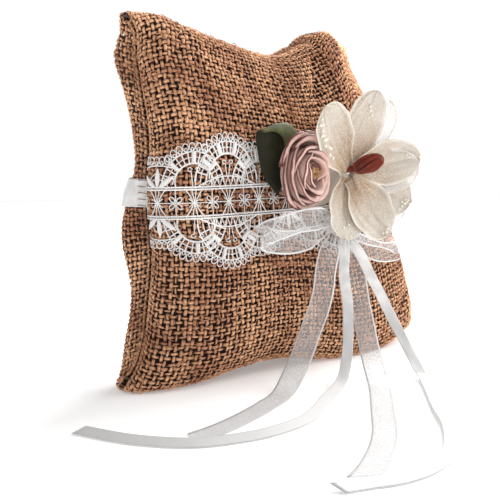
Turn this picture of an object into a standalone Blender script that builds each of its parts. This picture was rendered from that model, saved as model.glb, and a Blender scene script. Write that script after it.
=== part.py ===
"""Ring bearer pillow: burlap cushion with lace, a ribbon rose, an organza flower and a bow with ribbon tails.

The cushion stands on its lower edge on a small flat base. The front faces -Y, +X is to the right and +Z is up.
The origin is a point of the flat base, on the middle of the cushion's width. Lengths are in metres.
"""

import math

import bmesh
import bpy
from mathutils import Vector

# Cushion, ear to ear. The ears are given from the middle of the base: the sides are not quite parallel.
CUSHION_WIDTH = 0.200
CUSHION_HEIGHT = 0.200
TOP_RIGHT_EAR_IN = 0.016
BOTTOM_RIGHT_EAR_OUT = 0.012
FRONT_BULGE = 0.032
BACK_BULGE = 0.028
SIDE_PULL_IN = 0.019
TOP_PULL_IN = 0.014
BASE_SAG = 0.010
EAR_LIFT = 0.003
TWIST = 0.013
LEAN = -0.002
BULGE_POWER = 3.2

# Layers of the cushion, from outside to inside.
BURLAP = 0.0012
LINING = 0.0004
LAYER_GAP = 0.0003
SEAM_GAP = 0.0009
SEAM_THREAD = 0.0012
GRID = 15
PLACE_ROUNDS = 40

# Trim on the front.
LACE_HEIGHT = 0.1015
LACE_HALF_WIDTH = 0.021
LACE_SCALLOP = 0.015
LACE_REPEAT = 0.078
LACE_FIRST_FAN = 0.051
LACE_THICK = 0.0006
LACE_LIFT = 0.0007
LACE_SEAM_MARGIN = 0.0015
LACE_FAN_POWER = 0.8
LACE_ROWS = (-1.0, -0.5, 0.0, 0.5, 1.0)

# Hand strap across the back.
STRAP_WIDTH = 0.015
STRAP_THICK = 0.0006
STRAP_HEIGHT = 0.106
STRAP_LIFT = 0.0008
STRAP_SLACK = 0.010
STRAP_SLACK_SHARE = 0.55
STRAP_SEAM_MARGIN = 0.0015

# Flower group on the front.
PAD_CENTRE = (0.010, 0.114)
PAD_RADII = (0.026, 0.017)
PAD_THICK = 0.0012

ROSE_CENTRE = (-0.0105, 0.118)
ROSE_RADII = (0.0150, 0.0200)
ROSE_STAND_OFF = 0.0050
ROSE_DEPTH = 0.0150
ROSE_RING_STEP = 0.30
ROSE_RINGS = 3
ROSE_PETALS_PER_RING = 3
ROSE_RING_TURN = 0.7
ROSE_PETAL_SWEEP = math.radians(150)
ROSE_PETAL_FOOT = 0.74
ROSE_PETAL_FLARE = 0.16
ROSE_PETAL_SPIRAL = 0.10
ROSE_PETAL_LOW = 0.80
ROSE_PETAL_RING_RISE = 0.10
ROSE_PETAL_SHOULDER = 0.30
ROSE_PETAL_SHOULDER_POWER = 2.5
ROSE_PETAL_THICK = 0.0006
ROSE_BUD_RADIUS = 0.0026
ROSE_BUD_LENGTH = 0.019
STAMEN_RADIUS = 0.0026
STAMEN_LENGTH = 0.003
STAMEN_TAPER = 0.6

FLOWER_CENTRE = (0.0275, 0.116)
FLOWER_STAND_OFF = 0.0100
FLOWER_STEM_RADIUS = 0.0032
PETAL_START = 0.0042
PETAL_THICK = 0.0005
PETAL_LAYER = 0.0020
PETAL_RISE = 0.0120
PETAL_RISE_REACH = 0.046
PETAL_RISE_POWER = 1.5
PETAL_STATIONS = 9
PETAL_ROWS = (-1.0, -0.6, -0.2, 0.2, 0.6, 1.0)
PETAL_FOOT = 0.03
PETAL_FULL = 0.88
PETAL_FULL_POWER = 1.15
PETAL_EDGE_POWER = 0.9
PISTIL_LENGTH = 0.019
PISTIL_RADIUS = 0.0056
PISTIL_LIFT = 0.0012
PISTIL_TILT_SIDE = 0.25
PISTIL_TILT_UP = 0.35

LEAF_TIP = (-0.021, 0.104)
LEAF_TOP = (-0.0225, 0.142)
LEAF_HALF_WIDTH = 0.0105
LEAF_THICK = 0.0005
LEAF_CROWN = 0.0015
LEAF_STATIONS = 7
LEAF_ROWS = (-1.0, -0.5, 0.0, 0.5, 1.0)
LEAF_POINT = 0.06
LEAF_FULL = 0.62

# Bow and ribbons. Routes are measured from the bow's place on the front in X and Y, from the table in Z.
BOW_CENTRE = (0.0185, 0.088)
KNOT_WIDTH = 0.0075
KNOT_HEIGHT = 0.013
KNOT_DEPTH = 0.0090
KNOT_STAND_OFF = 0.0035
KNOT_BEVEL = 0.0018
ORGANZA_WIDTH = 0.012
ORGANZA_THICK = 0.0003
SATIN_WIDTH = 0.006
SATIN_THICK = 0.0004

# name: (length, width, direction in degrees from +X, layer)
ORGANZA_PETALS = {
    "organza_petal_upper_left": (0.046, 0.0245, 127.0, 1),
    "organza_petal_upper_right": (0.047, 0.0270, 74.0, 0),
    "organza_petal_right": (0.047, 0.0250, 13.0, 1),
    "organza_petal_lower_right": (0.046, 0.0260, -22.0, 0),
    "organza_petal_lower_middle": (0.042, 0.0270, -61.0, 1),
    "organza_petal_lower_left": (0.037, 0.0250, -103.0, 0),
}

# Each route point is (x, y, z, direction of the ribbon's width as x, y, z).
FACE = (0.78, -0.63, 0.0)
LEFT_ORGANZA_ROUTE = (
    (-0.0030, -0.0120, 0.0805, *FACE),
    (-0.0085, -0.0140, 0.0725, *FACE),
    (-0.0115, -0.0140, 0.0615, *FACE),
    (-0.0135, -0.0145, 0.0505, *FACE),
    (-0.0165, -0.0140, 0.0400, *FACE),
    (-0.0232, -0.0149, 0.0295, *FACE),
    (-0.0338, -0.0192, 0.0180, *FACE),
    (-0.0462, -0.0235, 0.0070, 0.70, -0.71, 0.10),
    (-0.0555, -0.0265, 0.0014, 0.50, -0.86, 0.05),
    (-0.0665, -0.0305, 0.0006, 0.36, -0.93, 0.0),
    (-0.0795, -0.0355, 0.0006, 0.30, -0.95, 0.0),
    (-0.0925, -0.0395, 0.0006, 0.22, -0.97, 0.0),
    (-0.1045, -0.0425, 0.0006, 0.15, -0.99, 0.0),
    (-0.1145, -0.0440, 0.0006, 0.10, -0.99, 0.0),
    (-0.1260, -0.0450, 0.0006, 0.10, -0.99, 0.0),
)
RIGHT_ORGANZA_ROUTE = (
    (0.0100, -0.0105, 0.0720, *FACE),
    (0.0135, -0.0120, 0.0625, *FACE),
    (0.0145, -0.0140, 0.0515, *FACE),
    (0.0150, -0.0160, 0.0405, *FACE),
    (0.0145, -0.0197, 0.0305, *FACE),
    (0.0100, -0.0274, 0.0200, *FACE),
    (0.0040, -0.0372, 0.0095, *FACE),
    (-0.0009, -0.0454, 0.0022, 0.74, -0.67, 0.0),
    (-0.0075, -0.0530, 0.0006, 0.72, -0.70, 0.0),
    (-0.0185, -0.0635, 0.0006, 0.70, -0.72, 0.0),
    (-0.0355, -0.0795, 0.0006, 0.70, -0.71, 0.0),
    (-0.0515, -0.0945, 0.0006, 0.66, -0.75, 0.0),
    (-0.0675, -0.1065, 0.0006, 0.58, -0.81, 0.0),
    (-0.0845, -0.1165, 0.0006, 0.50, -0.86, 0.0),
    (-0.0945, -0.1210, 0.0006, 0.45, -0.89, 0.0),
)
LEFT_SATIN_ROUTE = (
    (0.0015, -0.0155, 0.0800, *FACE),
    (0.0000, -0.0175, 0.0700, *FACE),
    (-0.0015, -0.0185, 0.0605, *FACE),
    (-0.0005, -0.0190, 0.0515, *FACE),
    (0.0015, -0.0190, 0.0425, *FACE),
    (0.0006, -0.0206, 0.0310, *FACE),
    (-0.0051, -0.0260, 0.0185, *FACE),
    (-0.0145, -0.0328, 0.0075, 0.66, -0.74, -0.10),
    (-0.0244, -0.0378, 0.0026, 0.50, -0.82, -0.27),
    (-0.0434, -0.0474, 0.0018, 0.45, -0.82, -0.36),
    (-0.0584, -0.0564, 0.0018, 0.40, -0.84, -0.37),
    (-0.0724, -0.0619, 0.0018, 0.24, -0.90, -0.37),
    (-0.0884, -0.0634, 0.0018, 0.05, -0.93, -0.37),
    (-0.1029, -0.0619, 0.0018, -0.16, -0.91, -0.37),
    (-0.1214, -0.0559, 0.0018, -0.38, -0.85, -0.37),
    (-0.1344, -0.0474, 0.0018, -0.56, -0.74, -0.37),
    (-0.1494, -0.0294, 0.0018, -0.75, -0.55, -0.37),
    (-0.1614, -0.0059, 0.0018, -0.83, -0.42, -0.37),
)
RIGHT_SATIN_ROUTE = (
    (0.0055, -0.0160, 0.0780, *FACE),
    (0.0120, -0.0185, 0.0690, *FACE),
    (0.0190, -0.0205, 0.0560, *FACE),
    (0.0255, -0.0220, 0.0455, *FACE),
    (0.0300, -0.0245, 0.0355, *FACE),
    (0.0321, -0.0314, 0.0235, *FACE),
    (0.0307, -0.0407, 0.0135, *FACE),
    (0.0280, -0.0498, 0.0055, *FACE),
    (0.0246, -0.0569, 0.0018, 0.75, -0.64, -0.15),
    (0.0080, -0.0744, 0.0016, 0.72, -0.66, -0.20),
    (-0.0095, -0.0924, 0.0016, 0.70, -0.68, -0.20),
    (-0.0244, -0.1089, 0.0018, 0.70, -0.65, -0.30),
    (-0.0394, -0.1214, 0.0020, 0.62, -0.70, -0.35),
    (-0.0534, -0.1304, 0.0020, 0.45, -0.81, -0.37),
    (-0.0704, -0.1344, 0.0018, 0.05, -0.93, -0.37),
    (-0.0864, -0.1329, 0.0018, -0.12, -0.92, -0.37),
    (-0.0984, -0.1284, 0.0018, -0.20, -0.91, -0.37),
    (-0.1124, -0.1234, 0.0018, -0.28, -0.89, -0.37),
)
LEFT_LOOP_ROUTE = (
    (-0.0050, -0.0118, 0.0895, 0.05, -0.10, 1.0),
    (-0.0190, -0.0145, 0.0912, 0.10, -0.15, 1.0),
    (-0.0330, -0.0152, 0.0905, 0.10, -0.20, 1.0),
    (-0.0460, -0.0145, 0.0880, 0.10, -0.20, 1.0),
    (-0.0535, -0.0122, 0.0855, 0.05, -0.15, 1.0),
    (-0.0545, -0.0108, 0.0835, 0.00, -0.10, 1.0),
    (-0.0465, -0.0080, 0.0805, -0.05, -0.05, 1.0),
    (-0.0315, -0.0072, 0.0785, 0.00, 0.00, 1.0),
    (-0.0180, -0.0068, 0.0800, 0.10, 0.00, 1.0),
    (-0.0065, -0.0066, 0.0835, 0.15, 0.00, 1.0),
)
RIGHT_LOOP_ROUTE = (
    (0.0055, -0.0115, 0.0855, 0.20, -0.10, 1.0),
    (0.0175, -0.0125, 0.0815, 0.25, -0.15, 1.0),
    (0.0295, -0.0125, 0.0780, 0.20, -0.20, 1.0),
    (0.0415, -0.0123, 0.0755, 0.20, -0.20, 1.0),
    (0.0520, -0.0110, 0.0720, 0.25, -0.15, 1.0),
    (0.0565, -0.0100, 0.0685, 0.25, -0.05, 1.0),
    (0.0530, -0.0072, 0.0660, 0.25, 0.00, 1.0),
    (0.0435, -0.0060, 0.0665, 0.25, 0.00, 1.0),
    (0.0330, -0.0055, 0.0700, 0.25, 0.00, 1.0),
    (0.0210, -0.0055, 0.0745, 0.25, 0.00, 1.0),
    (0.0065, -0.0062, 0.0800, 0.25, 0.00, 1.0),
)

COLOURS = {
    "burlap": ((0.36, 0.20, 0.11), 0.95),
    "lining": ((0.12, 0.06, 0.03), 0.95),
    "fibre": ((0.85, 0.84, 0.80), 1.0),
    "thread": ((0.30, 0.17, 0.09), 0.9),
    "lace": ((0.88, 0.86, 0.83), 0.85),
    "satin": ((0.90, 0.89, 0.87), 0.35),
    "organza": ((0.86, 0.85, 0.83), 0.55),
    "leaf_satin": ((0.035, 0.055, 0.022), 0.45),
    "rose_satin": ((0.80, 0.56, 0.48), 0.5),
    "stamen": ((0.70, 0.50, 0.30), 0.7),
    "petal_organza": ((0.86, 0.78, 0.64), 0.6),
    "wound_thread": ((0.22, 0.035, 0.012), 0.6),
    "felt": ((0.75, 0.70, 0.62), 1.0),
}


def clear_scene():
    """Removes every object of the scene."""
    for item in list(bpy.data.objects):
        bpy.data.objects.remove(item, do_unlink=True)


def finish_material(name):
    """The Principled material of one finish."""
    found = bpy.data.materials.get(name)
    if found:
        return found
    colour, roughness = COLOURS[name]
    made = bpy.data.materials.new(name)
    made.use_nodes = True
    shader = made.node_tree.nodes["Principled BSDF"]
    shader.inputs["Base Color"].default_value = (*colour, 1.0)
    shader.inputs["Roughness"].default_value = roughness
    shader.inputs["Metallic"].default_value = 0.0
    return made


def add_object(name, shape, finish):
    """Makes an object of a bmesh, with its normals facing out."""
    bmesh.ops.recalc_face_normals(shape, faces=shape.faces)
    if shape.calc_volume(signed=True) < 0:
        bmesh.ops.reverse_faces(shape, faces=shape.faces)
    mesh = bpy.data.meshes.new(name)
    shape.to_mesh(mesh)
    shape.free()
    mesh.materials.append(finish_material(finish))
    made = bpy.data.objects.new(name, mesh)
    bpy.context.scene.collection.objects.link(made)
    return made


def smoothstep(value):
    """0 below 0, 1 above 1, and smooth between."""
    value = min(1.0, max(0.0, value))
    return value * value * (3.0 - 2.0 * value)


# ---- the cushion's surface ----


def middle_y(x, z):
    """The cushion's middle surface: the right side leans back at the top and forward at the bottom."""
    share = (x + CUSHION_WIDTH / 2) / CUSHION_WIDTH
    height = (z - CUSHION_HEIGHT / 2) / (CUSHION_HEIGHT / 2)
    return share * (LEAN + TWIST * height)


def outline_point(u, v):
    """The point of the middle surface at (u, v), each from -1 to 1, as x and z."""
    right = (1 + u) / 2
    top = (1 + v) / 2
    right_edge = CUSHION_WIDTH / 2 + BOTTOM_RIGHT_EAR_OUT * (1 - top) - TOP_RIGHT_EAR_IN * top
    left_edge = -CUSHION_WIDTH / 2
    x = left_edge + (right_edge - left_edge) * right
    x -= u * abs(u) * SIDE_PULL_IN * (1 - v * v)
    low = EAR_LIFT - (BASE_SAG + EAR_LIFT) * (1 - u**4)
    high = CUSHION_HEIGHT - TOP_PULL_IN * (1 - u * u)
    return x, low + (high - low) * top


def cushion_point(u, v, side, lift):
    """A point of the cushion's skin: side is -1 in front and 1 behind, and lift is how far outside it is."""
    x, z = outline_point(u, v)
    middle = CUSHION_HEIGHT / 2
    grow = 1 + lift / (CUSHION_WIDTH / 2)
    x *= grow
    z = max(middle + (z - middle) * grow, -lift)
    bulge = (FRONT_BULGE if side < 0 else BACK_BULGE) + lift
    fullness = (1 - abs(u) ** BULGE_POWER) * (1 - abs(v) ** BULGE_POWER)
    y = middle_y(x, z) + side * (SEAM_GAP + (bulge - SEAM_GAP) * math.sqrt(max(0.0, fullness)))
    return Vector((x, y, z))


def cushion_place(x, z):
    """The (u, v) at which the middle surface has this x and z."""
    u, v = x / (CUSHION_WIDTH / 2), 2 * z / CUSHION_HEIGHT - 1
    for _ in range(PLACE_ROUNDS):
        now_x, now_z = outline_point(u, v)
        u = min(1.0, max(-1.0, u + (x - now_x) / (CUSHION_WIDTH / 2)))
        v = min(1.0, max(-1.0, v + 2 * (z - now_z) / CUSHION_HEIGHT))
    return u, v


def level_place(u, z):
    """The v at which the middle surface is at height z, for this u."""
    low, high = outline_point(u, -1)[1], outline_point(u, 1)[1]
    return 2 * (z - low) / (high - low) - 1


def level_point(u, z, side, lift):
    """The point of the skin at height z, for this u."""
    return cushion_point(u, level_place(u, z), side, lift)


def front_point(x, z, lift):
    """The point of the front at x and z, lifted outward."""
    return cushion_point(*cushion_place(x, z), -1, lift)


def front_y(centre):
    """How far forward the front is at (x, z)."""
    return front_point(*centre, 0.0).y


# ---- shapes shared by several pieces ----


def slab(name, finish, near, far):
    """A closed body between two grids of points, each a list of rows of the same size."""
    shape = bmesh.new()
    rows, columns = len(near), len(near[0])
    near_verts = [[shape.verts.new(p) for p in row] for row in near]
    far_verts = [[shape.verts.new(p) for p in row] for row in far]
    for i in range(rows - 1):
        for j in range(columns - 1):
            for grid in (near_verts, far_verts):
                shape.faces.new((grid[i][j], grid[i][j + 1], grid[i + 1][j + 1], grid[i + 1][j]))
    rim = [(0, j) for j in range(columns)]
    rim += [(i, columns - 1) for i in range(1, rows)]
    rim += [(rows - 1, j) for j in range(columns - 2, -1, -1)]
    rim += [(i, 0) for i in range(rows - 2, 0, -1)]
    for (i, j), (k, m) in zip(rim, rim[1:] + rim[:1], strict=True):
        shape.faces.new((near_verts[i][j], near_verts[k][m], far_verts[k][m], far_verts[i][j]))
    return add_object(name, shape, finish)


def grid_normals(rows):
    """The unit normal at every point of a grid."""
    normals = []
    last_row, last_column = len(rows) - 1, len(rows[0]) - 1
    for i, row in enumerate(rows):
        normals.append([])
        for j in range(len(row)):
            along = row[min(j + 1, last_column)] - row[max(j - 1, 0)]
            across = rows[min(i + 1, last_row)][j] - rows[max(i - 1, 0)][j]
            normals[-1].append(along.cross(across).normalized())
    return normals


def sheet(name, finish, rows, thick):
    """A closed sheet of even thickness about a grid of points."""
    normals = grid_normals(rows)
    near = []
    far = []
    for row, row_normals in zip(rows, normals, strict=True):
        near.append([p + n * thick / 2 for p, n in zip(row, row_normals, strict=True)])
        far.append([p - n * thick / 2 for p, n in zip(row, row_normals, strict=True)])
    return slab(name, finish, near, far)


def smooth_route(points, steps):
    """Points on a smooth curve through the given ones, steps to each stretch."""
    points = [Vector(p) for p in points]
    ends = [2 * points[0] - points[1]] + points + [2 * points[-1] - points[-2]]
    route = []
    for i in range(1, len(ends) - 2):
        before, start, end, after = ends[i - 1 : i + 3]
        for k in range(steps):
            t = k / steps
            route.append(
                0.5
                * (
                    2 * start
                    + (end - before) * t
                    + (2 * before - 5 * start + 4 * end - after) * t**2
                    + (3 * start - before - 3 * end + after) * t**3
                )
            )
    return route + [points[-1]]


def ribbon(name, finish, route, width, thick, steps=2):
    """A flat ribbon along a route of points with the direction of its width, from the bow's place."""
    bow_x = BOW_CENTRE[0]
    bow_y = front_y(BOW_CENTRE)
    centres = smooth_route([(x + bow_x, y + bow_y, z) for x, y, z, *_ in route], steps)
    sides = smooth_route([row[3:] for row in route], steps)
    rows = []
    for k, (centre, side) in enumerate(zip(centres, sides, strict=True)):
        along = centres[min(k + 1, len(centres) - 1)] - centres[max(k - 1, 0)]
        side = (side - along * side.dot(along) / along.length_squared).normalized()
        rows.append([centre - side * width / 2, centre, centre + side * width / 2])
    return sheet(name, finish, rows, thick)


def disc(name, finish, centre, radii, near_y, thick, segments=24):
    """A flat oval disc facing the front."""
    shape = bmesh.new()
    bmesh.ops.create_cone(
        shape, cap_ends=True, segments=segments, radius1=1.0, radius2=1.0, depth=1.0
    )
    for vert in shape.verts:
        x, y, z = vert.co
        vert.co = (centre[0] + radii[0] * x, near_y - thick * (0.5 + z), centre[1] + radii[1] * y)
    return add_object(name, shape, finish)


# ---- cushion ----


def spaced(count):
    """Values from -1 to 1, closer together near the ends."""
    return [math.sin(math.pi * (k / (count - 1) - 0.5)) for k in range(count)]


def cushion_skin(name, finish, side, lift, thick):
    """One half of a layer of the cushion: an open shell from seam to seam."""
    outer = [[cushion_point(u, v, side, -lift) for u in spaced(GRID)] for v in spaced(GRID)]
    inner = [
        [cushion_point(u, v, side, -lift - thick) for u in spaced(GRID)] for v in spaced(GRID)
    ]
    return slab(name, finish, outer, inner)


def cushion_stuffing(lift):
    """The fibre filling, as one body inside the lining."""
    front = [[cushion_point(u, v, -1, -lift) for u in spaced(GRID)] for v in spaced(GRID)]
    back = [[cushion_point(u, v, 1, -lift) for u in spaced(GRID)] for v in spaced(GRID)]
    return slab("stuffing", "fibre", front, back)


def cushion_seam():
    """The sewing thread that joins the two burlap panels all round."""
    edge = [(u, -1.0) for u in spaced(GRID)[:-1]]
    edge += [(1.0, v) for v in spaced(GRID)[:-1]]
    edge += [(u, 1.0) for u in reversed(spaced(GRID)[1:])]
    edge += [(-1.0, v) for v in reversed(spaced(GRID)[1:])]
    inset = SEAM_THREAD / 2 + LAYER_GAP
    middles = []
    for u, v in edge:
        point = cushion_point(u, v, -1, -inset)
        point.y = middle_y(point.x, point.z)
        middles.append(point)
    shape = bmesh.new()
    half = (SEAM_GAP - LAYER_GAP, SEAM_THREAD / 2)
    loops = []
    count = len(middles)
    for k, middle in enumerate(middles):
        along = middles[(k + 1) % count] - middles[k - 1]
        out = along.cross(Vector((0, 1, 0))).normalized()
        corners = []
        for step in range(6):
            angle = math.pi * step / 3
            offset = Vector((0, half[0] * math.cos(angle), 0)) + out * half[1] * math.sin(angle)
            corners.append(shape.verts.new(middle + offset))
        loops.append(corners)
    for k in range(count):
        here, there = loops[k], loops[(k + 1) % count]
        for step in range(6):
            after = (step + 1) % 6
            shape.faces.new((here[step], here[after], there[after], there[step]))
    return add_object("seam_thread", shape, "thread")


def build_cushion():
    """Burlap panels, lining, stuffing and the seam."""
    lining_lift = BURLAP + LAYER_GAP
    stuffing_lift = lining_lift + LINING + LAYER_GAP
    for side, word in ((-1, "front"), (1, "back")):
        cushion_skin(f"{word}_cover", "burlap", side, 0.0, BURLAP)
        cushion_skin(f"{word}_lining", "lining", side, lining_lift, LINING)
    cushion_stuffing(stuffing_lift)
    cushion_seam()


# ---- trim ----


def lace_half_width(run):
    """Half the lace's width at this length along it: a tall fan and a narrow place in each repeat."""
    phase = (run - LACE_FIRST_FAN) / LACE_REPEAT
    phase -= round(phase)
    return LACE_HALF_WIDTH + LACE_SCALLOP * math.cos(math.pi * phase) ** LACE_FAN_POWER


def seam_to_seam(margin):
    """Values of u from one side seam to the other, closer together near the seams."""
    end = 1 - margin / (CUSHION_WIDTH / 2)
    return [end * u for u in spaced(2 * GRID - 1)]


def lengths_along(points):
    """The length along a line of points, from its first point to each."""
    lengths = [0.0]
    for before, after in zip(points, points[1:]):
        lengths.append(lengths[-1] + (after - before).length)
    return lengths


def build_lace():
    """The lace band across the front, from side seam to side seam."""
    places = seam_to_seam(LACE_SEAM_MARGIN)
    runs = lengths_along([level_point(u, LACE_HEIGHT, -1, LACE_LIFT) for u in places])
    near = []
    far = []
    for across in LACE_ROWS:
        near.append([])
        far.append([])
        for u, run in zip(places, runs, strict=True):
            z = LACE_HEIGHT + across * lace_half_width(run)
            near[-1].append(level_point(u, z, -1, LACE_LIFT))
            far[-1].append(level_point(u, z, -1, LACE_LIFT + LACE_THICK))
    return slab("lace_band", "lace", near, far)


def build_hand_strap():
    """The ribbon across the back, sewn into both side seams, with slack for a hand."""
    near = []
    far = []
    for across in (-0.5, 0.0, 0.5):
        z = STRAP_HEIGHT + across * STRAP_WIDTH
        near.append([])
        far.append([])
        for u in seam_to_seam(STRAP_SEAM_MARGIN):
            slack = Vector((0, STRAP_SLACK * smoothstep((1 - abs(u)) / STRAP_SLACK_SHARE), 0))
            near[-1].append(level_point(u, z, 1, STRAP_LIFT) + slack)
            far[-1].append(level_point(u, z, 1, STRAP_LIFT + STRAP_THICK) + slack)
    return slab("hand_strap", "satin", near, far)


# ---- flower group ----


def build_pad():
    """The felt pad that the flowers are glued to."""
    rim = [math.tau * k / 12 for k in range(12)]
    places = [(math.cos(angle), math.sin(angle)) for angle in rim] + [(0, 0)]
    places = [
        (PAD_CENTRE[0] + PAD_RADII[0] * across, PAD_CENTRE[1] + PAD_RADII[1] * up)
        for across, up in places
    ]
    face = min(front_y(place) for place in places) - LACE_LIFT - LACE_THICK - LAYER_GAP
    disc("felt_pad", "felt", PAD_CENTRE, PAD_RADII, face, PAD_THICK)
    return face - PAD_THICK


def build_leaf(pad_y):
    """The folded ribbon leaf beside the rose."""
    rows = []
    for k in range(LEAF_STATIONS + 1):
        share = k / LEAF_STATIONS
        x = LEAF_TIP[0] + (LEAF_TOP[0] - LEAF_TIP[0]) * share
        z = LEAF_TIP[1] + (LEAF_TOP[1] - LEAF_TIP[1]) * share
        half = LEAF_HALF_WIDTH * max(LEAF_POINT, math.sin(math.pi * min(0.5, share * LEAF_FULL)))
        row = []
        for across in LEAF_ROWS:
            y = pad_y - LAYER_GAP - LEAF_THICK - LEAF_CROWN * (1 - across * across) * share
            row.append(Vector((x + across * half, y, z)))
        rows.append(row)
    return sheet("leaf", "leaf_satin", rows, LEAF_THICK)


def rose_petal(name, ring, start, base_y):
    """One petal of the rose: a curved wall that overlaps the next one of its ring."""
    rows = []
    steps = 10
    size = 1 - ROSE_RING_STEP * ring
    tall = ROSE_DEPTH * (ROSE_PETAL_LOW + ROSE_PETAL_RING_RISE * ring)
    for level in range(4):
        rise = level / 3
        row = []
        for k in range(steps + 1):
            share = k / steps
            angle = start + ROSE_PETAL_SWEEP * share
            flare = ROSE_PETAL_FOOT + ROSE_PETAL_FLARE * math.sqrt(rise)
            wide = size * flare + ROSE_PETAL_SPIRAL * share
            shoulder = ROSE_PETAL_SHOULDER * abs(2 * share - 1) ** ROSE_PETAL_SHOULDER_POWER
            height = tall * (1 - shoulder)
            x = ROSE_CENTRE[0] + ROSE_RADII[0] * wide * math.cos(angle)
            z = ROSE_CENTRE[1] + ROSE_RADII[1] * wide * math.sin(angle)
            row.append(Vector((x, base_y - height * rise, z)))
        rows.append(row)
    return sheet(name, "rose_satin", rows, ROSE_PETAL_THICK)


def build_rose(pad_y):
    """The rolled satin rose, its bud and its stamens."""
    base_y = pad_y - ROSE_STAND_OFF
    number = 0
    for ring in range(ROSE_RINGS):
        for k in range(ROSE_PETALS_PER_RING):
            number += 1
            start = math.tau * k / ROSE_PETALS_PER_RING + ROSE_RING_TURN * ring
            rose_petal(f"rose_petal_{number}", ring, start, base_y)
    bud_top = base_y - ROSE_BUD_LENGTH + ROSE_STAND_OFF
    bud_length = pad_y - LAYER_GAP - bud_top
    radii = (ROSE_BUD_RADIUS, ROSE_BUD_RADIUS)
    disc("rose_bud", "rose_satin", ROSE_CENTRE, radii, pad_y - LAYER_GAP, bud_length, 14)
    tip = bud_top - LAYER_GAP
    shape = bmesh.new()
    bmesh.ops.create_cone(
        shape,
        cap_ends=True,
        segments=12,
        radius1=STAMEN_RADIUS,
        radius2=STAMEN_RADIUS * STAMEN_TAPER,
        depth=STAMEN_LENGTH,
    )
    for vert in shape.verts:
        x, y, z = vert.co
        vert.co = (ROSE_CENTRE[0] + x, tip - STAMEN_LENGTH / 2 - z, ROSE_CENTRE[1] + y)
    add_object("rose_stamens", shape, "stamen")


def organza_petal(name, length, width, degrees, layer, base_y):
    """One petal of the organza flower: a broad cupped blade that rises towards its tip."""
    direction = math.radians(degrees)
    along = Vector((math.cos(direction), 0, math.sin(direction)))
    across = Vector((-math.sin(direction), 0, math.cos(direction)))
    middle = Vector((FLOWER_CENTRE[0], base_y - PETAL_LAYER * layer, FLOWER_CENTRE[1]))
    rows = []
    for k in range(PETAL_STATIONS + 1):
        share = k / PETAL_STATIONS
        reach = PETAL_START + (length - PETAL_START) * share
        turn = math.pi * (PETAL_FOOT + PETAL_FULL * share**PETAL_FULL_POWER)
        half = width / 2 * math.sin(turn) ** PETAL_EDGE_POWER
        rise = PETAL_RISE * (reach / PETAL_RISE_REACH) ** PETAL_RISE_POWER
        row = []
        for t in PETAL_ROWS:
            row.append(middle + along * reach + across * half * t - Vector((0, rise, 0)))
        rows.append(row)
    return sheet(name, "petal_organza", rows, PETAL_THICK)


def build_organza_flower(pad_y):
    """The organza flower: its petals, bound stem and thread-wound pistil."""
    base_y = pad_y - FLOWER_STAND_OFF + PETAL_LAYER
    for name, (length, width, degrees, layer) in ORGANZA_PETALS.items():
        organza_petal(name, length, width, degrees, layer, base_y)
    stem_top = base_y - PETAL_LAYER - PETAL_THICK - LAYER_GAP
    stem_y = pad_y - LAYER_GAP
    radii = (FLOWER_STEM_RADIUS, FLOWER_STEM_RADIUS)
    disc("flower_stem", "wound_thread", FLOWER_CENTRE, radii, stem_y, stem_y - stem_top, 12)
    axis = Vector((PISTIL_TILT_SIDE, -1.0, PISTIL_TILT_UP)).normalized()
    middle = Vector((FLOWER_CENTRE[0], stem_top - PISTIL_LIFT, FLOWER_CENTRE[1]))
    middle += axis * PISTIL_LENGTH / 2
    shape = bmesh.new()
    bmesh.ops.create_uvsphere(shape, u_segments=12, v_segments=9, radius=1.0)
    turn = axis.to_track_quat("Z", "Y")
    for vert in shape.verts:
        x, y, z = vert.co
        local = Vector((PISTIL_RADIUS * x, PISTIL_RADIUS * y, PISTIL_LENGTH / 2 * z))
        vert.co = middle + turn @ local
    add_object("flower_pistil", shape, "wound_thread")


# ---- bow ----


def build_bow():
    """The knot, two organza loops, two organza tails and two satin tails."""
    near_y = front_y(BOW_CENTRE) - KNOT_STAND_OFF
    shape = bmesh.new()
    bmesh.ops.create_cube(shape, size=1.0)
    for vert in shape.verts:
        x, y, z = vert.co
        vert.co = (
            BOW_CENTRE[0] + KNOT_WIDTH * x,
            near_y - KNOT_DEPTH * (0.5 - y),
            BOW_CENTRE[1] + KNOT_HEIGHT * z,
        )
    bmesh.ops.bevel(
        shape,
        geom=shape.edges[:],
        offset=KNOT_BEVEL,
        segments=2,
        profile=0.5,
        affect="EDGES",
    )
    add_object("bow_knot", shape, "satin")
    ribbon("bow_loop_left", "organza", LEFT_LOOP_ROUTE, ORGANZA_WIDTH, ORGANZA_THICK, 3)
    ribbon("bow_loop_right", "organza", RIGHT_LOOP_ROUTE, ORGANZA_WIDTH, ORGANZA_THICK, 3)
    ribbon("organza_tail_left", "organza", LEFT_ORGANZA_ROUTE, ORGANZA_WIDTH, ORGANZA_THICK)
    ribbon("organza_tail_right", "organza", RIGHT_ORGANZA_ROUTE, ORGANZA_WIDTH, ORGANZA_THICK)
    ribbon("satin_tail_left", "satin", LEFT_SATIN_ROUTE, SATIN_WIDTH, SATIN_THICK)
    ribbon("satin_tail_right", "satin", RIGHT_SATIN_ROUTE, SATIN_WIDTH, SATIN_THICK)


def main():
    """Builds the whole pillow."""
    clear_scene()
    build_cushion()
    build_lace()
    build_hand_strap()
    pad_y = build_pad()
    build_leaf(pad_y)
    build_rose(pad_y)
    build_organza_flower(pad_y)
    build_bow()


main()
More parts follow.
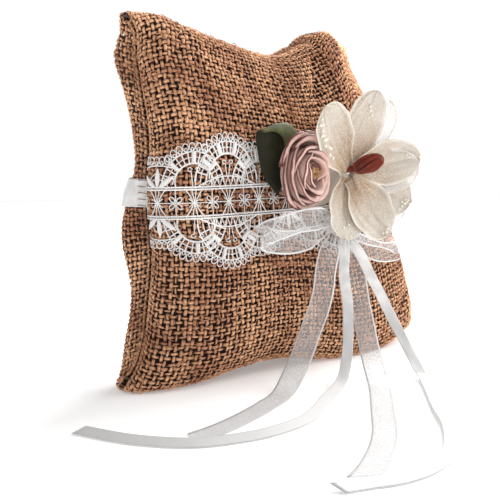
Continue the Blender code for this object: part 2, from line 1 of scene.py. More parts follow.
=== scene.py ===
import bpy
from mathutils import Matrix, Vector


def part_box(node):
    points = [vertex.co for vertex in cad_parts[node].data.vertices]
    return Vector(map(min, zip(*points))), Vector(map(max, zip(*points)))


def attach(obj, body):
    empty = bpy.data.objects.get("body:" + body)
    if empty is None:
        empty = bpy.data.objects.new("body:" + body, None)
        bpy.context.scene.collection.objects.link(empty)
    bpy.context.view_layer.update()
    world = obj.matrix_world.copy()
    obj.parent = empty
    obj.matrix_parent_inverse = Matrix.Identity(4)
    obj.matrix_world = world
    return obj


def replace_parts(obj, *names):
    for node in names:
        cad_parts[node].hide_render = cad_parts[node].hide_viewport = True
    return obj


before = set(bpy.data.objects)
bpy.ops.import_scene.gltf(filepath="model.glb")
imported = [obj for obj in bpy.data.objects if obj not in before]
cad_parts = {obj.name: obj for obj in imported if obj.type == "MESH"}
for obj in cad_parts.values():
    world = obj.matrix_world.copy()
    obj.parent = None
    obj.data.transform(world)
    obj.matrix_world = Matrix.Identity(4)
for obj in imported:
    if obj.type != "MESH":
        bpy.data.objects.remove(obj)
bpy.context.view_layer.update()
"""A ring bearer pillow: woven burlap, a lace band, ribbon flowers and a bow with four tails."""

import logging
import math
from collections.abc import Sequence
from dataclasses import dataclass, field
from enum import Enum

import bpy
import numpy as np
from mathutils import Vector

LOG = logging.getLogger("pillow")
Array = np.ndarray
Socket = bpy.types.NodeSocket
Material = bpy.types.Material
Piece = bpy.types.Object
Colour = tuple[float, float, float]
Place = tuple[float, float]
Row = tuple[float, ...]


class Side(Enum):
    """The two faces of the cushion, by the direction each one bulges along Y."""

    FRONT = -1
    BACK = 1


class Run(Enum):
    """The two ways a thread runs in the cloth."""

    WARP = "warp"
    WEFT = "weft"


# ---- small shared tools ----


def smoothstep(value: Array | float, low: float = 0.0, high: float = 1.0) -> Array | float:
    """A smooth step: 0 below low, 1 above high, and a smooth curve between."""
    share = np.clip((value - low) / (high - low), 0.0, 1.0)
    return share * share * (3.0 - 2.0 * share)


def bump(value: Array | float, middle: float, spread: float) -> Array | float:
    """A bell curve of height 1 about a middle, which has sunk to about a third one spread away."""
    return np.exp(-(((value - middle) / spread) ** 2))


def swell(value: Array, waves: Sequence[Row]) -> Array:
    """The sum of bell curves, each given by its middle, its spread and its height."""
    return sum(height * bump(value, middle, spread) for middle, spread, height in waves)


def unit(vectors: Array) -> Array:
    """The vectors of the last axis, scaled to length 1."""
    return vectors / np.maximum(np.linalg.norm(vectors, axis=-1, keepdims=True), 1e-12)


def lengths_along(points: Array) -> Array:
    """How far along a line of points each one is."""
    return np.concatenate([[0.0], np.cumsum(np.linalg.norm(np.diff(points, axis=0), axis=1))])


def slow_noise(count: int, knots: int, rng: np.random.Generator) -> Array:
    """Smooth random values along a line.

    Args:
        count: how many values.
        knots: how many random values they pass smoothly between.
        rng: the seeded source of random numbers.

    Returns:
        Values from about -1 to 1.
    """
    places = np.linspace(0, knots - 1, count)
    values = rng.uniform(-1, 1, knots + 1)
    low = places.astype(int)
    share = smoothstep(places - low)
    return values[low] * (1 - share) + values[low + 1] * share


def grid_quads(rows: int, columns: int, closed: bool = False) -> Array:
    """The faces of a grid of points.

    Args:
        rows: how many rows of points.
        columns: how many points in a row.
        closed: whether each row is a closed ring.

    Returns:
        An array of four point numbers to a face.
    """
    across = columns if closed else columns - 1
    row, column = np.meshgrid(np.arange(rows - 1), np.arange(across), indexing="ij")
    after = (column + 1) % columns
    quads = [row * columns + column, row * columns + after]
    quads += [(row + 1) * columns + after, (row + 1) * columns + column]
    return np.stack(quads, axis=-1).reshape(-1, 4)


def end_caps(count: int, sides: int) -> Array:
    """The faces that close both ends of a tube, as fans of quads.

    Args:
        count: how many rings it has.
        sides: how many points go round it.

    Returns:
        An array of faces. Each has two triangles' worth of points, or repeats its last point.
    """
    fans = []
    last = (count - 1) * sides
    for k in range(1, sides - 1, 2):
        end = min(k + 2, sides - 1)
        fans.append([0, end, k + 1, k])
        fans.append([last, last + k, last + k + 1, last + end])
    return np.array(fans)


def smooth_route(points: Array, steps: int) -> Array:
    """A smooth curve through points.

    Args:
        points: the points that it passes, one to a row.
        steps: how many pieces each stretch is cut into.

    Returns:
        The points of the curve, one to a row.
    """
    first, last = 2 * points[0] - points[1], 2 * points[-1] - points[-2]
    ends = np.concatenate([first[None], points, last[None]])
    share = (np.arange(steps) / steps)[:, None]
    route = []
    for before, start, end, after in zip(ends, ends[1:], ends[2:], ends[3:], strict=False):
        square = (2 * before - 5 * start + 4 * end - after) * share**2
        cube = (3 * start - before - 3 * end + after) * share**3
        route.append(0.5 * (2 * start + (end - before) * share + square + cube))
    return np.concatenate([*route, points[-1:]])


@dataclass
class Bundle:
    """Many small shapes that become one mesh, with a note at each point for the finish to read.

    The note is a vector called lay. It holds the length along the thread or ribbon, the place across it,
    and a third value that each piece gives its own meaning, such as how near the rim is. A number called
    deep says how far a point lies down between its neighbours, from 0 to 1; the thread and rose finishes
    darken the colour by it, as painted shade.
    """

    points: list[Array] = field(default_factory=list)
    quads: list[Array] = field(default_factory=list)
    lays: list[Array] = field(default_factory=list)
    deeps: list[Array] = field(default_factory=list)
    count: int = 0

    def add(
        self, points: Array, quads: Array, lay: Array, deep: Array | float = 0.0
    ) -> None:
        """Adds one shape.

        Args:
            points: its points, with x, y and z along the last axis.
            quads: its faces, four point numbers each.
            lay: the note at each point, in the same order.
            deep: how far down each point lies.
        """
        flat = points.reshape(-1, 3)
        self.points.append(flat)
        self.quads.append(quads + self.count)
        self.lays.append(np.broadcast_to(lay, points.shape).reshape(-1, 3))
        self.deeps.append(np.broadcast_to(deep, points.shape[:-1]).ravel())
        self.count += len(flat)

    def strand(
        self,
        middles: Array,
        normals: Array,
        half_width: Array | float,
        half_thick: Array | float,
        sides: int = 6,
        mark: float = 0.0,
        deep: Array | float = 0.0,
    ) -> None:
        """Adds a thread with an oval section.

        Args:
            middles: the points of its middle line.
            normals: the direction of its thickness at each point.
            half_width: half its width, everywhere or at each point.
            half_thick: half its thickness, everywhere or at each point.
            sides: how many points go round it.
            mark: the third value of its note.
            deep: how far down it lies, everywhere or at each point.
        """
        count = len(middles)
        tangents = unit(np.gradient(middles, axis=0))
        across = unit(np.cross(tangents, normals))
        up = unit(np.cross(across, tangents))
        wide = np.broadcast_to(half_width, count)[:, None]
        thick = np.broadcast_to(half_thick, count)[:, None]
        turn = np.linspace(0, math.tau, sides, endpoint=False)
        along = lengths_along(middles)
        rings = []
        for angle in turn:
            rings.append(middles + across * wide * math.cos(angle) + up * thick * math.sin(angle))
        points = np.stack(rings, axis=1)
        lay = np.zeros((count, sides, 3))
        lay[..., 0] = along[:, None]
        lay[..., 1] = turn[None, :]
        lay[..., 2] = mark
        quads = np.concatenate([grid_quads(count, sides, closed=True), end_caps(count, sides)])
        self.add(points, quads, lay, np.broadcast_to(deep, count)[:, None])

    def piece(self, name: str, material: Material, slot: str) -> Piece:
        """Makes the mesh object, riding on the root body.

        Args:
            name: the object's name.
            material: its finish.
            slot: the record's material slot that it stands for; not used.

        Returns:
            The new object.
        """
        points = np.concatenate(self.points)
        faces = [list(dict.fromkeys(quad)) for part in self.quads for quad in part.tolist()]
        mesh = bpy.data.meshes.new(name)
        mesh.from_pydata(points.tolist(), [], faces)
        lay = mesh.attributes.new("lay", "FLOAT_VECTOR", "POINT")
        lay.data.foreach_set("vector", np.concatenate(self.lays).astype(np.float32).ravel())
        deep = mesh.attributes.new("deep", "FLOAT", "POINT")
        deep.data.foreach_set("value", np.concatenate(self.deeps).astype(np.float32))
        mesh.polygons.foreach_set("use_smooth", np.ones(len(mesh.polygons), dtype=bool))
        mesh.materials.append(material)
        made = bpy.data.objects.new(name, mesh)
        bpy.context.scene.collection.objects.link(made)
        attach(made, "root")
        LOG.info("%s: %d faces", name, len(faces))
        return made


def grid_normals(points: Array) -> Array:
    """The unit normals of a grid of points."""
    along = np.gradient(points, axis=1)
    across = np.gradient(points, axis=0)
    return unit(np.cross(along, across))


def slab(
    bundle: Bundle, points: Array, thick: float, lay: Array, deep: Array | float = 0.0
) -> None:
    """Adds a closed sheet of even thickness about a grid of points.

    Args:
        bundle: what it is added to.
        points: the grid, with x, y and z along the last axis.
        thick: the sheet's thickness.
        lay: the note at each point of the grid.
        deep: how far down each point lies.
    """
    rows, columns = points.shape[:2]
    normals = grid_normals(points)
    both = np.stack([points + normals * thick / 2, points - normals * thick / 2])
    quads = grid_quads(rows, columns)
    size = rows * columns
    rim = list(range(columns))
    rim += [i * columns + columns - 1 for i in range(1, rows)]
    rim += [(rows - 1) * columns + j for j in range(columns - 2, -1, -1)]
    rim += [i * columns for i in range(rows - 2, 0, -1)]
    sides = [[a, a + size, b + size, b] for a, b in zip(rim, rim[1:] + rim[:1], strict=True)]
    faces = np.concatenate([quads, quads[:, ::-1] + size, np.array(sides)])
    low = np.broadcast_to(deep, points.shape[:2])
    bundle.add(both, faces, np.stack([lay, lay]), np.stack([low, low]))


def sheet_lay(rows: int, columns: int, length: float, rim: Array | float = 0.0) -> Array:
    """The note of a sheet: its length along, from -1 to 1 across, and a rim value.

    Args:
        rows: how many rows run across the sheet.
        columns: how many points in a row.
        length: the sheet's length.
        rim: the third value.

    Returns:
        The notes of the grid.
    """
    lay = np.zeros((rows, columns, 3))
    lay[..., 0] = np.linspace(0, length, rows)[:, None]
    lay[..., 1] = np.linspace(-1, 1, columns)[None, :]
    lay[..., 2] = rim
    return lay


# ---- finishes ----


class Palette:
    """Adds nodes to one material, and links them, with short calls."""

    def __init__(self, name: str) -> None:
        """Starts a material with a Principled shader.

        Args:
            name: the material's name.
        """
        self.material = bpy.data.materials.new(name)
        self.material.use_nodes = True
        self.tree = self.material.node_tree
        self.shader = self.tree.nodes["Principled BSDF"]

    def node(self, kind: str, **values: object) -> bpy.types.Node:
        """Adds a node.

        Args:
            kind: the node's type, without ShaderNode.
            values: its properties.

        Returns:
            The node.
        """
        made = self.tree.nodes.new("ShaderNode" + kind)
        for key, value in values.items():
            setattr(made, key, value)
        return made

    def link(self, source: Socket, target: Socket) -> None:
        """Links two sockets."""
        self.tree.links.new(source, target)

    def feed(self, target: Socket, value: object) -> None:
        """Links or sets an input, whichever the value needs."""
        if isinstance(value, Socket):
            self.link(value, target)
        else:
            target.default_value = value

    def lay(self) -> tuple[Socket, ...]:
        """The three values of the mesh's note, as sockets."""
        note = self.node("Attribute", attribute_name="lay")
        parts = self.node("SeparateXYZ")
        self.link(note.outputs["Vector"], parts.inputs[0])
        return tuple(parts.outputs)

    def math(self, operation: str, *values: object) -> Socket:
        """A math node's result.

        Args:
            operation: the node's operation.
            values: a socket or number for each of its inputs.

        Returns:
            The output socket.
        """
        made = self.node("Math", operation=operation)
        for target, value in zip(made.inputs, values, strict=False):
            self.feed(target, value)
        return made.outputs[0]

    def vector(self, x: object, y: object, z: object) -> Socket:
        """Three sockets or numbers joined to a vector."""
        made = self.node("CombineXYZ")
        for target, value in zip(made.inputs, (x, y, z), strict=True):
            self.feed(target, value)
        return made.outputs[0]

    def height(self) -> Socket:
        """How high each place is above the floor."""
        parts = self.node("SeparateXYZ")
        self.link(self.node("NewGeometry").outputs["Position"], parts.inputs[0])
        return parts.outputs[2]

    def place(self) -> Socket:
        """The place in the object's own frame, in metres."""
        return self.node("TexCoord").outputs["Object"]

    def noise(self, where: Socket, scale: float, detail: float = 3.0) -> Socket:
        """A noise texture's value.

        Args:
            where: the vector that it is looked up at.
            scale: how many features go in a unit of that vector.
            detail: how many finer layers it has.

        Returns:
            The output socket, from 0 to 1.
        """
        made = self.node("TexNoise")
        self.link(where, made.inputs["Vector"])
        made.inputs["Scale"].default_value = scale
        made.inputs["Detail"].default_value = detail
        return made.outputs[0]

    def ramp(self, factor: Socket, low: float, high: float) -> Socket:
        """A factor stretched so that low becomes 0 and high becomes 1, smoothly."""
        made = self.node("MapRange", interpolation_type="SMOOTHSTEP")
        self.link(factor, made.inputs["Value"])
        made.inputs["From Min"].default_value = low
        made.inputs["From Max"].default_value = high
        return made.outputs[0]

    def mix(self, factor: object, first: object, second: object) -> Socket:
        """A mix of two colours.

        Args:
            factor: a socket or number, 0 for the first colour.
            first: a socket or colour.
            second: a socket or colour.

        Returns:
            The colour socket.
        """
        made = self.node("Mix", data_type="RGBA")
        self.feed(made.inputs[0], factor)
        for target, value in ((made.inputs[6], first), (made.inputs[7], second)):
            self.feed(target, (*value, 1.0) if isinstance(value, tuple) else value)
        return made.outputs[2]

    def opaque(self, share: Socket) -> None:
        """Sets how opaque the surface is, kept between 0 and 1."""
        clamp = self.node("Clamp")
        self.link(share, clamp.inputs[0])
        self.link(clamp.outputs[0], self.shader.inputs["Alpha"])

    def bumps(self, height: Socket, strength: float, distance: float) -> None:
        """Turns a height into the shader's normal.

        Args:
            height: the height, in units of distance.
            strength: how much of it shows.
            distance: the height of 1, in metres.
        """
        made = self.node("Bump")
        made.inputs["Strength"].default_value = strength
        made.inputs["Distance"].default_value = distance
        self.link(height, made.inputs["Height"])
        self.link(made.outputs[0], self.shader.inputs["Normal"])

    def surface(self, colour: object, roughness: object, **plain: float) -> Material:
        """Sets the shader's colour, roughness and plain values.

        Args:
            colour: a socket or colour.
            roughness: a socket or number.
            plain: further inputs, with _ for a space, each one number.

        Returns:
            The material.
        """
        base = (*colour, 1.0) if isinstance(colour, tuple) else colour
        self.feed(self.shader.inputs["Base Color"], base)
        self.feed(self.shader.inputs["Roughness"], roughness)
        for key, value in plain.items():
            self.shader.inputs[key.replace("_", " ")].default_value = value
        return self.material


@dataclass(frozen=True)
class ThreadFinish:
    """Matt spun thread, with fibres along it, a colour that changes from thread to thread, and painted shade
    where a thread lies deep between others.
    """

    name: str
    light: Colour
    dark: Colour
    painted_shade: Colour
    patch: float = 45.0
    fibre: float = 0.00012
    sheen: float = 0.15

    def material(self) -> Material:
        """Builds the material."""
        nodes = Palette(self.name)
        along, around, mark = nodes.lay()
        fibre_place = nodes.vector(nodes.math("MULTIPLY", along, 400.0), around, mark)
        fibres = nodes.noise(fibre_place, 2.2, 4.0)
        slub_place = nodes.vector(nodes.math("MULTIPLY", along, 90.0), mark, mark)
        slubs = nodes.noise(slub_place, 1.0, 2.0)
        patches = nodes.noise(nodes.place(), self.patch, 3.0)
        shade = nodes.math("ADD", nodes.math("MULTIPLY", fibres, 0.55), nodes.math("MULTIPLY", slubs, 0.45))
        shade = nodes.math("ADD", shade, nodes.math("MULTIPLY", nodes.math("SUBTRACT", patches, 0.5), 0.7))
        colour = nodes.mix(nodes.ramp(shade, 0.28, 0.72), self.dark, self.light)
        # painted shade: points that lie deep between crossing threads, or on a wound core, take the darker
        # third colour
        down = nodes.node("Attribute", attribute_name="deep").outputs["Fac"]
        colour = nodes.mix(nodes.ramp(down, 0.05, 0.80), colour, self.painted_shade)
        nodes.bumps(fibres, 0.6, self.fibre)
        rough = nodes.math("MULTIPLY_ADD", fibres, 0.15, 0.78)
        return nodes.surface(colour, rough, Sheen_Weight=self.sheen, Specular_IOR_Level=0.25)


@dataclass(frozen=True)
class FleeceFinish:
    """Matt fibrous cloth or filling without a visible thread."""

    name: str
    light: Colour
    dark: Colour
    scale: float = 900.0

    def material(self) -> Material:
        """Builds the material."""
        nodes = Palette(self.name)
        fine = nodes.noise(nodes.place(), self.scale, 4.0)
        broad = nodes.noise(nodes.place(), self.scale / 12, 2.0)
        shade = nodes.math("MULTIPLY", nodes.math("ADD", fine, broad), 0.5)
        nodes.bumps(fine, 0.5, 0.0003)
        rough = nodes.ramp(fine, -2.0, 0.6)
        return nodes.surface(nodes.mix(shade, self.dark, self.light), rough, Sheen_Weight=0.2)


@dataclass(frozen=True)
class SatinFinish:
    """Satin ribbon: a soft gloss, with fine cross ribs, a slightly thicker edge, and painted shade where it
    lies near the floor.
    """

    name: str
    body: Colour
    shade: Colour
    roughness: float = 0.34
    ribs: float = 9000.0
    sheen: float = 0.25
    gloss: float = 0.5

    def material(self) -> Material:
        """Builds the material."""
        nodes = Palette(self.name)
        along, across, _ = nodes.lay()
        ribs = nodes.math("SINE", nodes.math("MULTIPLY", along, self.ribs))
        edge = nodes.ramp(nodes.math("ABSOLUTE", across), 0.80, 0.92)
        clouds = nodes.noise(nodes.place(), 110.0, 2.0)
        colour = nodes.mix(nodes.ramp(clouds, 0.30, 0.75), self.shade, self.body)
        colour = nodes.mix(nodes.math("MULTIPLY", edge, 0.35), colour, self.shade)
        # painted shade: the ribbon's colour is greyed where it lies near the floor
        painted_floor_shade = tuple(0.72 * part for part in self.body)
        colour = nodes.mix(nodes.ramp(nodes.height(), 0.055, 0.020), colour, painted_floor_shade)
        height = nodes.math("ADD", nodes.math("MULTIPLY", ribs, 0.3), edge)
        nodes.bumps(height, 0.5, 0.00012)
        rough = nodes.math("MULTIPLY_ADD", clouds, 0.18, self.roughness)
        return nodes.surface(colour, rough, Sheen_Weight=self.sheen, Specular_IOR_Level=self.gloss)


@dataclass(frozen=True)
class OrganzaFinish:
    """Sheer ribbon: a fine open weave, with closed selvages along its edges, and painted shade where it lies
    near the floor, where it is also more opaque.
    """

    name: str
    body: Colour
    cover: float = 0.42
    selvage: float = 0.87

    def material(self) -> Material:
        """Builds the material."""
        nodes = Palette(self.name)
        along, across, _ = nodes.lay()
        weft = nodes.math("SINE", nodes.math("MULTIPLY", along, 8200.0))
        warp = nodes.math("SINE", nodes.math("MULTIPLY", across, 50.0))
        weave = nodes.math("MULTIPLY", nodes.math("ADD", weft, warp), 0.10)
        grain = nodes.noise(nodes.place(), 1500.0, 2.0)
        clouds = nodes.noise(nodes.place(), 90.0, 2.0)
        edge = nodes.ramp(nodes.math("ABSOLUTE", across), self.selvage - 0.03, self.selvage + 0.02)
        cover = nodes.math("MULTIPLY_ADD", grain, 0.60, weave)
        cover = nodes.math("MULTIPLY_ADD", clouds, 0.12, cover)
        cover = nodes.math("ADD", cover, self.cover - 0.36)
        # near the floor the ribbon is made more opaque and takes painted shade
        low = nodes.ramp(nodes.height(), 0.055, 0.020)
        cover = nodes.math("MULTIPLY_ADD", low, 0.17, cover)
        alpha = nodes.node("Mix", data_type="FLOAT")
        nodes.feed(alpha.inputs[0], edge)
        nodes.feed(alpha.inputs[2], cover)
        alpha.inputs[3].default_value = 0.92
        nodes.opaque(alpha.outputs[0])
        nodes.bumps(nodes.math("ADD", weave, edge), 0.5, 0.0001)
        rough = nodes.math("MULTIPLY_ADD", grain, 0.2, 0.38)
        dim = tuple(0.93 * part for part in self.body)
        # painted shade: the colour near the floor is greyed
        painted_floor_shade = tuple(0.70 * part for part in self.body)
        colour = nodes.mix(low, nodes.mix(clouds, dim, self.body), painted_floor_shade)
        return nodes.surface(colour, rough, Sheen_Weight=0.3)


@dataclass(frozen=True)
class PetalFinish:
    """Starched petal cloth: creamy, half clear, with a fine dotted relief and a paler rim."""

    name: str
    body: Colour
    deep: Colour
    cover: float = 0.93

    def material(self) -> Material:
        """Builds the material."""
        nodes = Palette(self.name)
        _, across, outward = nodes.lay()
        grain = nodes.noise(nodes.place(), 1400.0, 3.0)
        clouds = nodes.noise(nodes.place(), 150.0, 2.0)
        dots = nodes.node("TexVoronoi")
        nodes.link(nodes.place(), dots.inputs["Vector"])
        dots.inputs["Scale"].default_value = 750.0
        spots = nodes.ramp(dots.outputs["Distance"], 0.55, 0.10)
        warmth = nodes.math("MULTIPLY_ADD", clouds, 0.55, nodes.math("MULTIPLY", outward, -1.0))
        colour = nodes.mix(nodes.ramp(warmth, -0.35, 0.40), self.body, self.deep)
        colour = nodes.mix(nodes.math("MULTIPLY", spots, 0.35), colour, (0.98, 0.96, 0.92))
        rim = nodes.ramp(nodes.math("ABSOLUTE", across), 0.86, 1.0)
        colour = nodes.mix(nodes.math("MULTIPLY", rim, 0.75), colour, (0.93, 0.91, 0.87))
        thin = nodes.math("MULTIPLY_ADD", grain, 0.30, self.cover - 0.15)
        thin = nodes.math("MULTIPLY_ADD", outward, -0.16, thin)
        nodes.opaque(thin)
        veins = nodes.math("SINE", nodes.math("MULTIPLY", across, 60.0))
        relief = nodes.math("MULTIPLY_ADD", spots, 0.8, nodes.math("MULTIPLY_ADD", veins, 0.12, grain))
        nodes.bumps(relief, 0.6, 0.0003)
        rough = nodes.math("MULTIPLY_ADD", grain, 0.25, 0.38)
        return nodes.surface(colour, rough, Sheen_Weight=0.3, Specular_IOR_Level=0.5)


@dataclass(frozen=True)
class EdgedSatinFinish:
    """Satin petals whose cut edges are heat-sealed darker, with painted shade towards each petal's base. The
    note's third value is how near the edge is.
    """

    name: str
    body: Colour
    blush: Colour
    edge: Colour
    gloss: float = 0.42

    def material(self) -> Material:
        """Builds the material."""
        nodes = Palette(self.name)
        along, _, near = nodes.lay()
        clouds = nodes.noise(nodes.place(), 170.0, 2.0)
        fine = nodes.noise(nodes.place(), 1800.0, 3.0)
        ribs = nodes.math("SINE", nodes.math("MULTIPLY", along, 7000.0))
        flush = nodes.math("MULTIPLY_ADD", near, 0.35, nodes.math("MULTIPLY", clouds, 0.6))
        colour = nodes.mix(nodes.ramp(flush, 0.15, 0.75), self.body, self.blush)
        ragged = nodes.math("MULTIPLY_ADD", clouds, 0.10, near)
        # painted shade: the deep note darkens the low part of each petal toward the edge colour
        low = nodes.node("Attribute", attribute_name="deep").outputs["Fac"]
        colour = nodes.mix(nodes.math("MULTIPLY", low, 0.85), colour, self.edge)
        colour = nodes.mix(nodes.ramp(ragged, 0.955, 1.0), colour, self.edge)
        nodes.bumps(nodes.math("MULTIPLY_ADD", ribs, 0.25, fine), 0.45, 0.00012)
        rough = nodes.math("MULTIPLY_ADD", fine, 0.2, self.gloss)
        return nodes.surface(colour, rough, Sheen_Weight=0.3)


@dataclass(frozen=True)
class FloorFinish:
    """Plain matt paper for the table."""

    name: str = "paper"
    colour: Colour = (0.93, 0.93, 0.93)
    glow: float = 0.22

    def material(self) -> Material:
        """Builds the material."""
        nodes = Palette(self.name)
        grain = nodes.noise(nodes.place(), 300.0, 2.0)
        rough = nodes.math("MULTIPLY_ADD", grain, 0.1, 0.85)
        nodes.shader.inputs["Emission Color"].default_value = (1.0, 1.0, 1.0, 1.0)
        return nodes.surface(self.colour, rough, Specular_IOR_Level=0.1, Emission_Strength=self.glow)


@dataclass(frozen=True)
class Finishes:
    """Every finish of the pillow."""

    # The third colour of each thread finish is painted shade, worn where a point lies deep between other
    # threads.
    burlap: ThreadFinish = ThreadFinish(
        "burlap", (0.92, 0.53, 0.295), (0.36, 0.135, 0.060), (0.060, 0.009, 0.002)
    )
    seam: ThreadFinish = ThreadFinish(
        "seam_cotton", (0.30, 0.17, 0.09), (0.16, 0.08, 0.04), (0.05, 0.02, 0.01)
    )
    lining: FleeceFinish = FleeceFinish("brown_lining", (0.030, 0.009, 0.004), (0.012, 0.003, 0.002))
    fibre: FleeceFinish = FleeceFinish("filling", (0.88, 0.87, 0.84), (0.74, 0.73, 0.70), 400.0)
    felt: FleeceFinish = FleeceFinish("cream_felt", (0.78, 0.73, 0.64), (0.62, 0.56, 0.48))
    lace: ThreadFinish = ThreadFinish(
        "lace_cotton", (0.93, 0.915, 0.90), (0.72, 0.69, 0.67), (0.5, 0.45, 0.42), 60.0
    )
    satin: SatinFinish = SatinFinish("white_satin", (0.82, 0.81, 0.80), (0.62, 0.605, 0.595))
    leaf: SatinFinish = SatinFinish(
        "leaf_satin", (0.026, 0.025, 0.010), (0.011, 0.012, 0.005), 0.55, 9000.0, 0.03, 0.2
    )
    leaf_fold: SatinFinish = SatinFinish(
        "leaf_fold", (0.115, 0.120, 0.032), (0.040, 0.048, 0.014), 0.5, 9000.0, 0.05, 0.25
    )
    organza: OrganzaFinish = OrganzaFinish("sheer_organza", (0.79, 0.78, 0.775), 0.17)
    petal: PetalFinish = PetalFinish("petal_organza", (0.61, 0.54, 0.455), (0.50, 0.32, 0.18), 0.80)
    veil: PetalFinish = PetalFinish("petal_veil", (0.82, 0.80, 0.775), (0.78, 0.73, 0.67), 0.46)
    wire: ThreadFinish = ThreadFinish(
        "petal_wire", (0.86, 0.78, 0.66), (0.66, 0.57, 0.46), (0.4, 0.3, 0.2)
    )
    rose: EdgedSatinFinish = EdgedSatinFinish(
        "rose_satin", (0.76, 0.575, 0.505), (0.66, 0.40, 0.335), (0.13, 0.020, 0.014)
    )
    bead: SatinFinish = SatinFinish("pearl", (0.93, 0.90, 0.84), (0.86, 0.78, 0.66), 0.20)
    stamen: ThreadFinish = ThreadFinish("stamen", (0.86, 0.64, 0.36), (0.42, 0.20, 0.08), (0.2, 0.05, 0.02))
    wound: ThreadFinish = ThreadFinish(
        "wound_thread", (0.27, 0.036, 0.014), (0.09, 0.010, 0.005), (0.012, 0.001, 0.001), 260.0
    )


# ---- the cushion's shape ----


@dataclass(frozen=True)
class Fold:
    """A soft swelling or crease of one face of the cushion, in the face's own places from -1 to 1."""

    u: float
    v: float
    wide: float
    tall: float
    height: float
    slant: float = 0.0

    def rise(self, u: Array, v: Array) -> Array:
        """How far the fold lifts the cloth at each place."""
        across = (u - self.u) - self.slant * (v - self.v)
        return self.height * bump(across, 0.0, self.wide) * bump(v, self.v, self.tall)


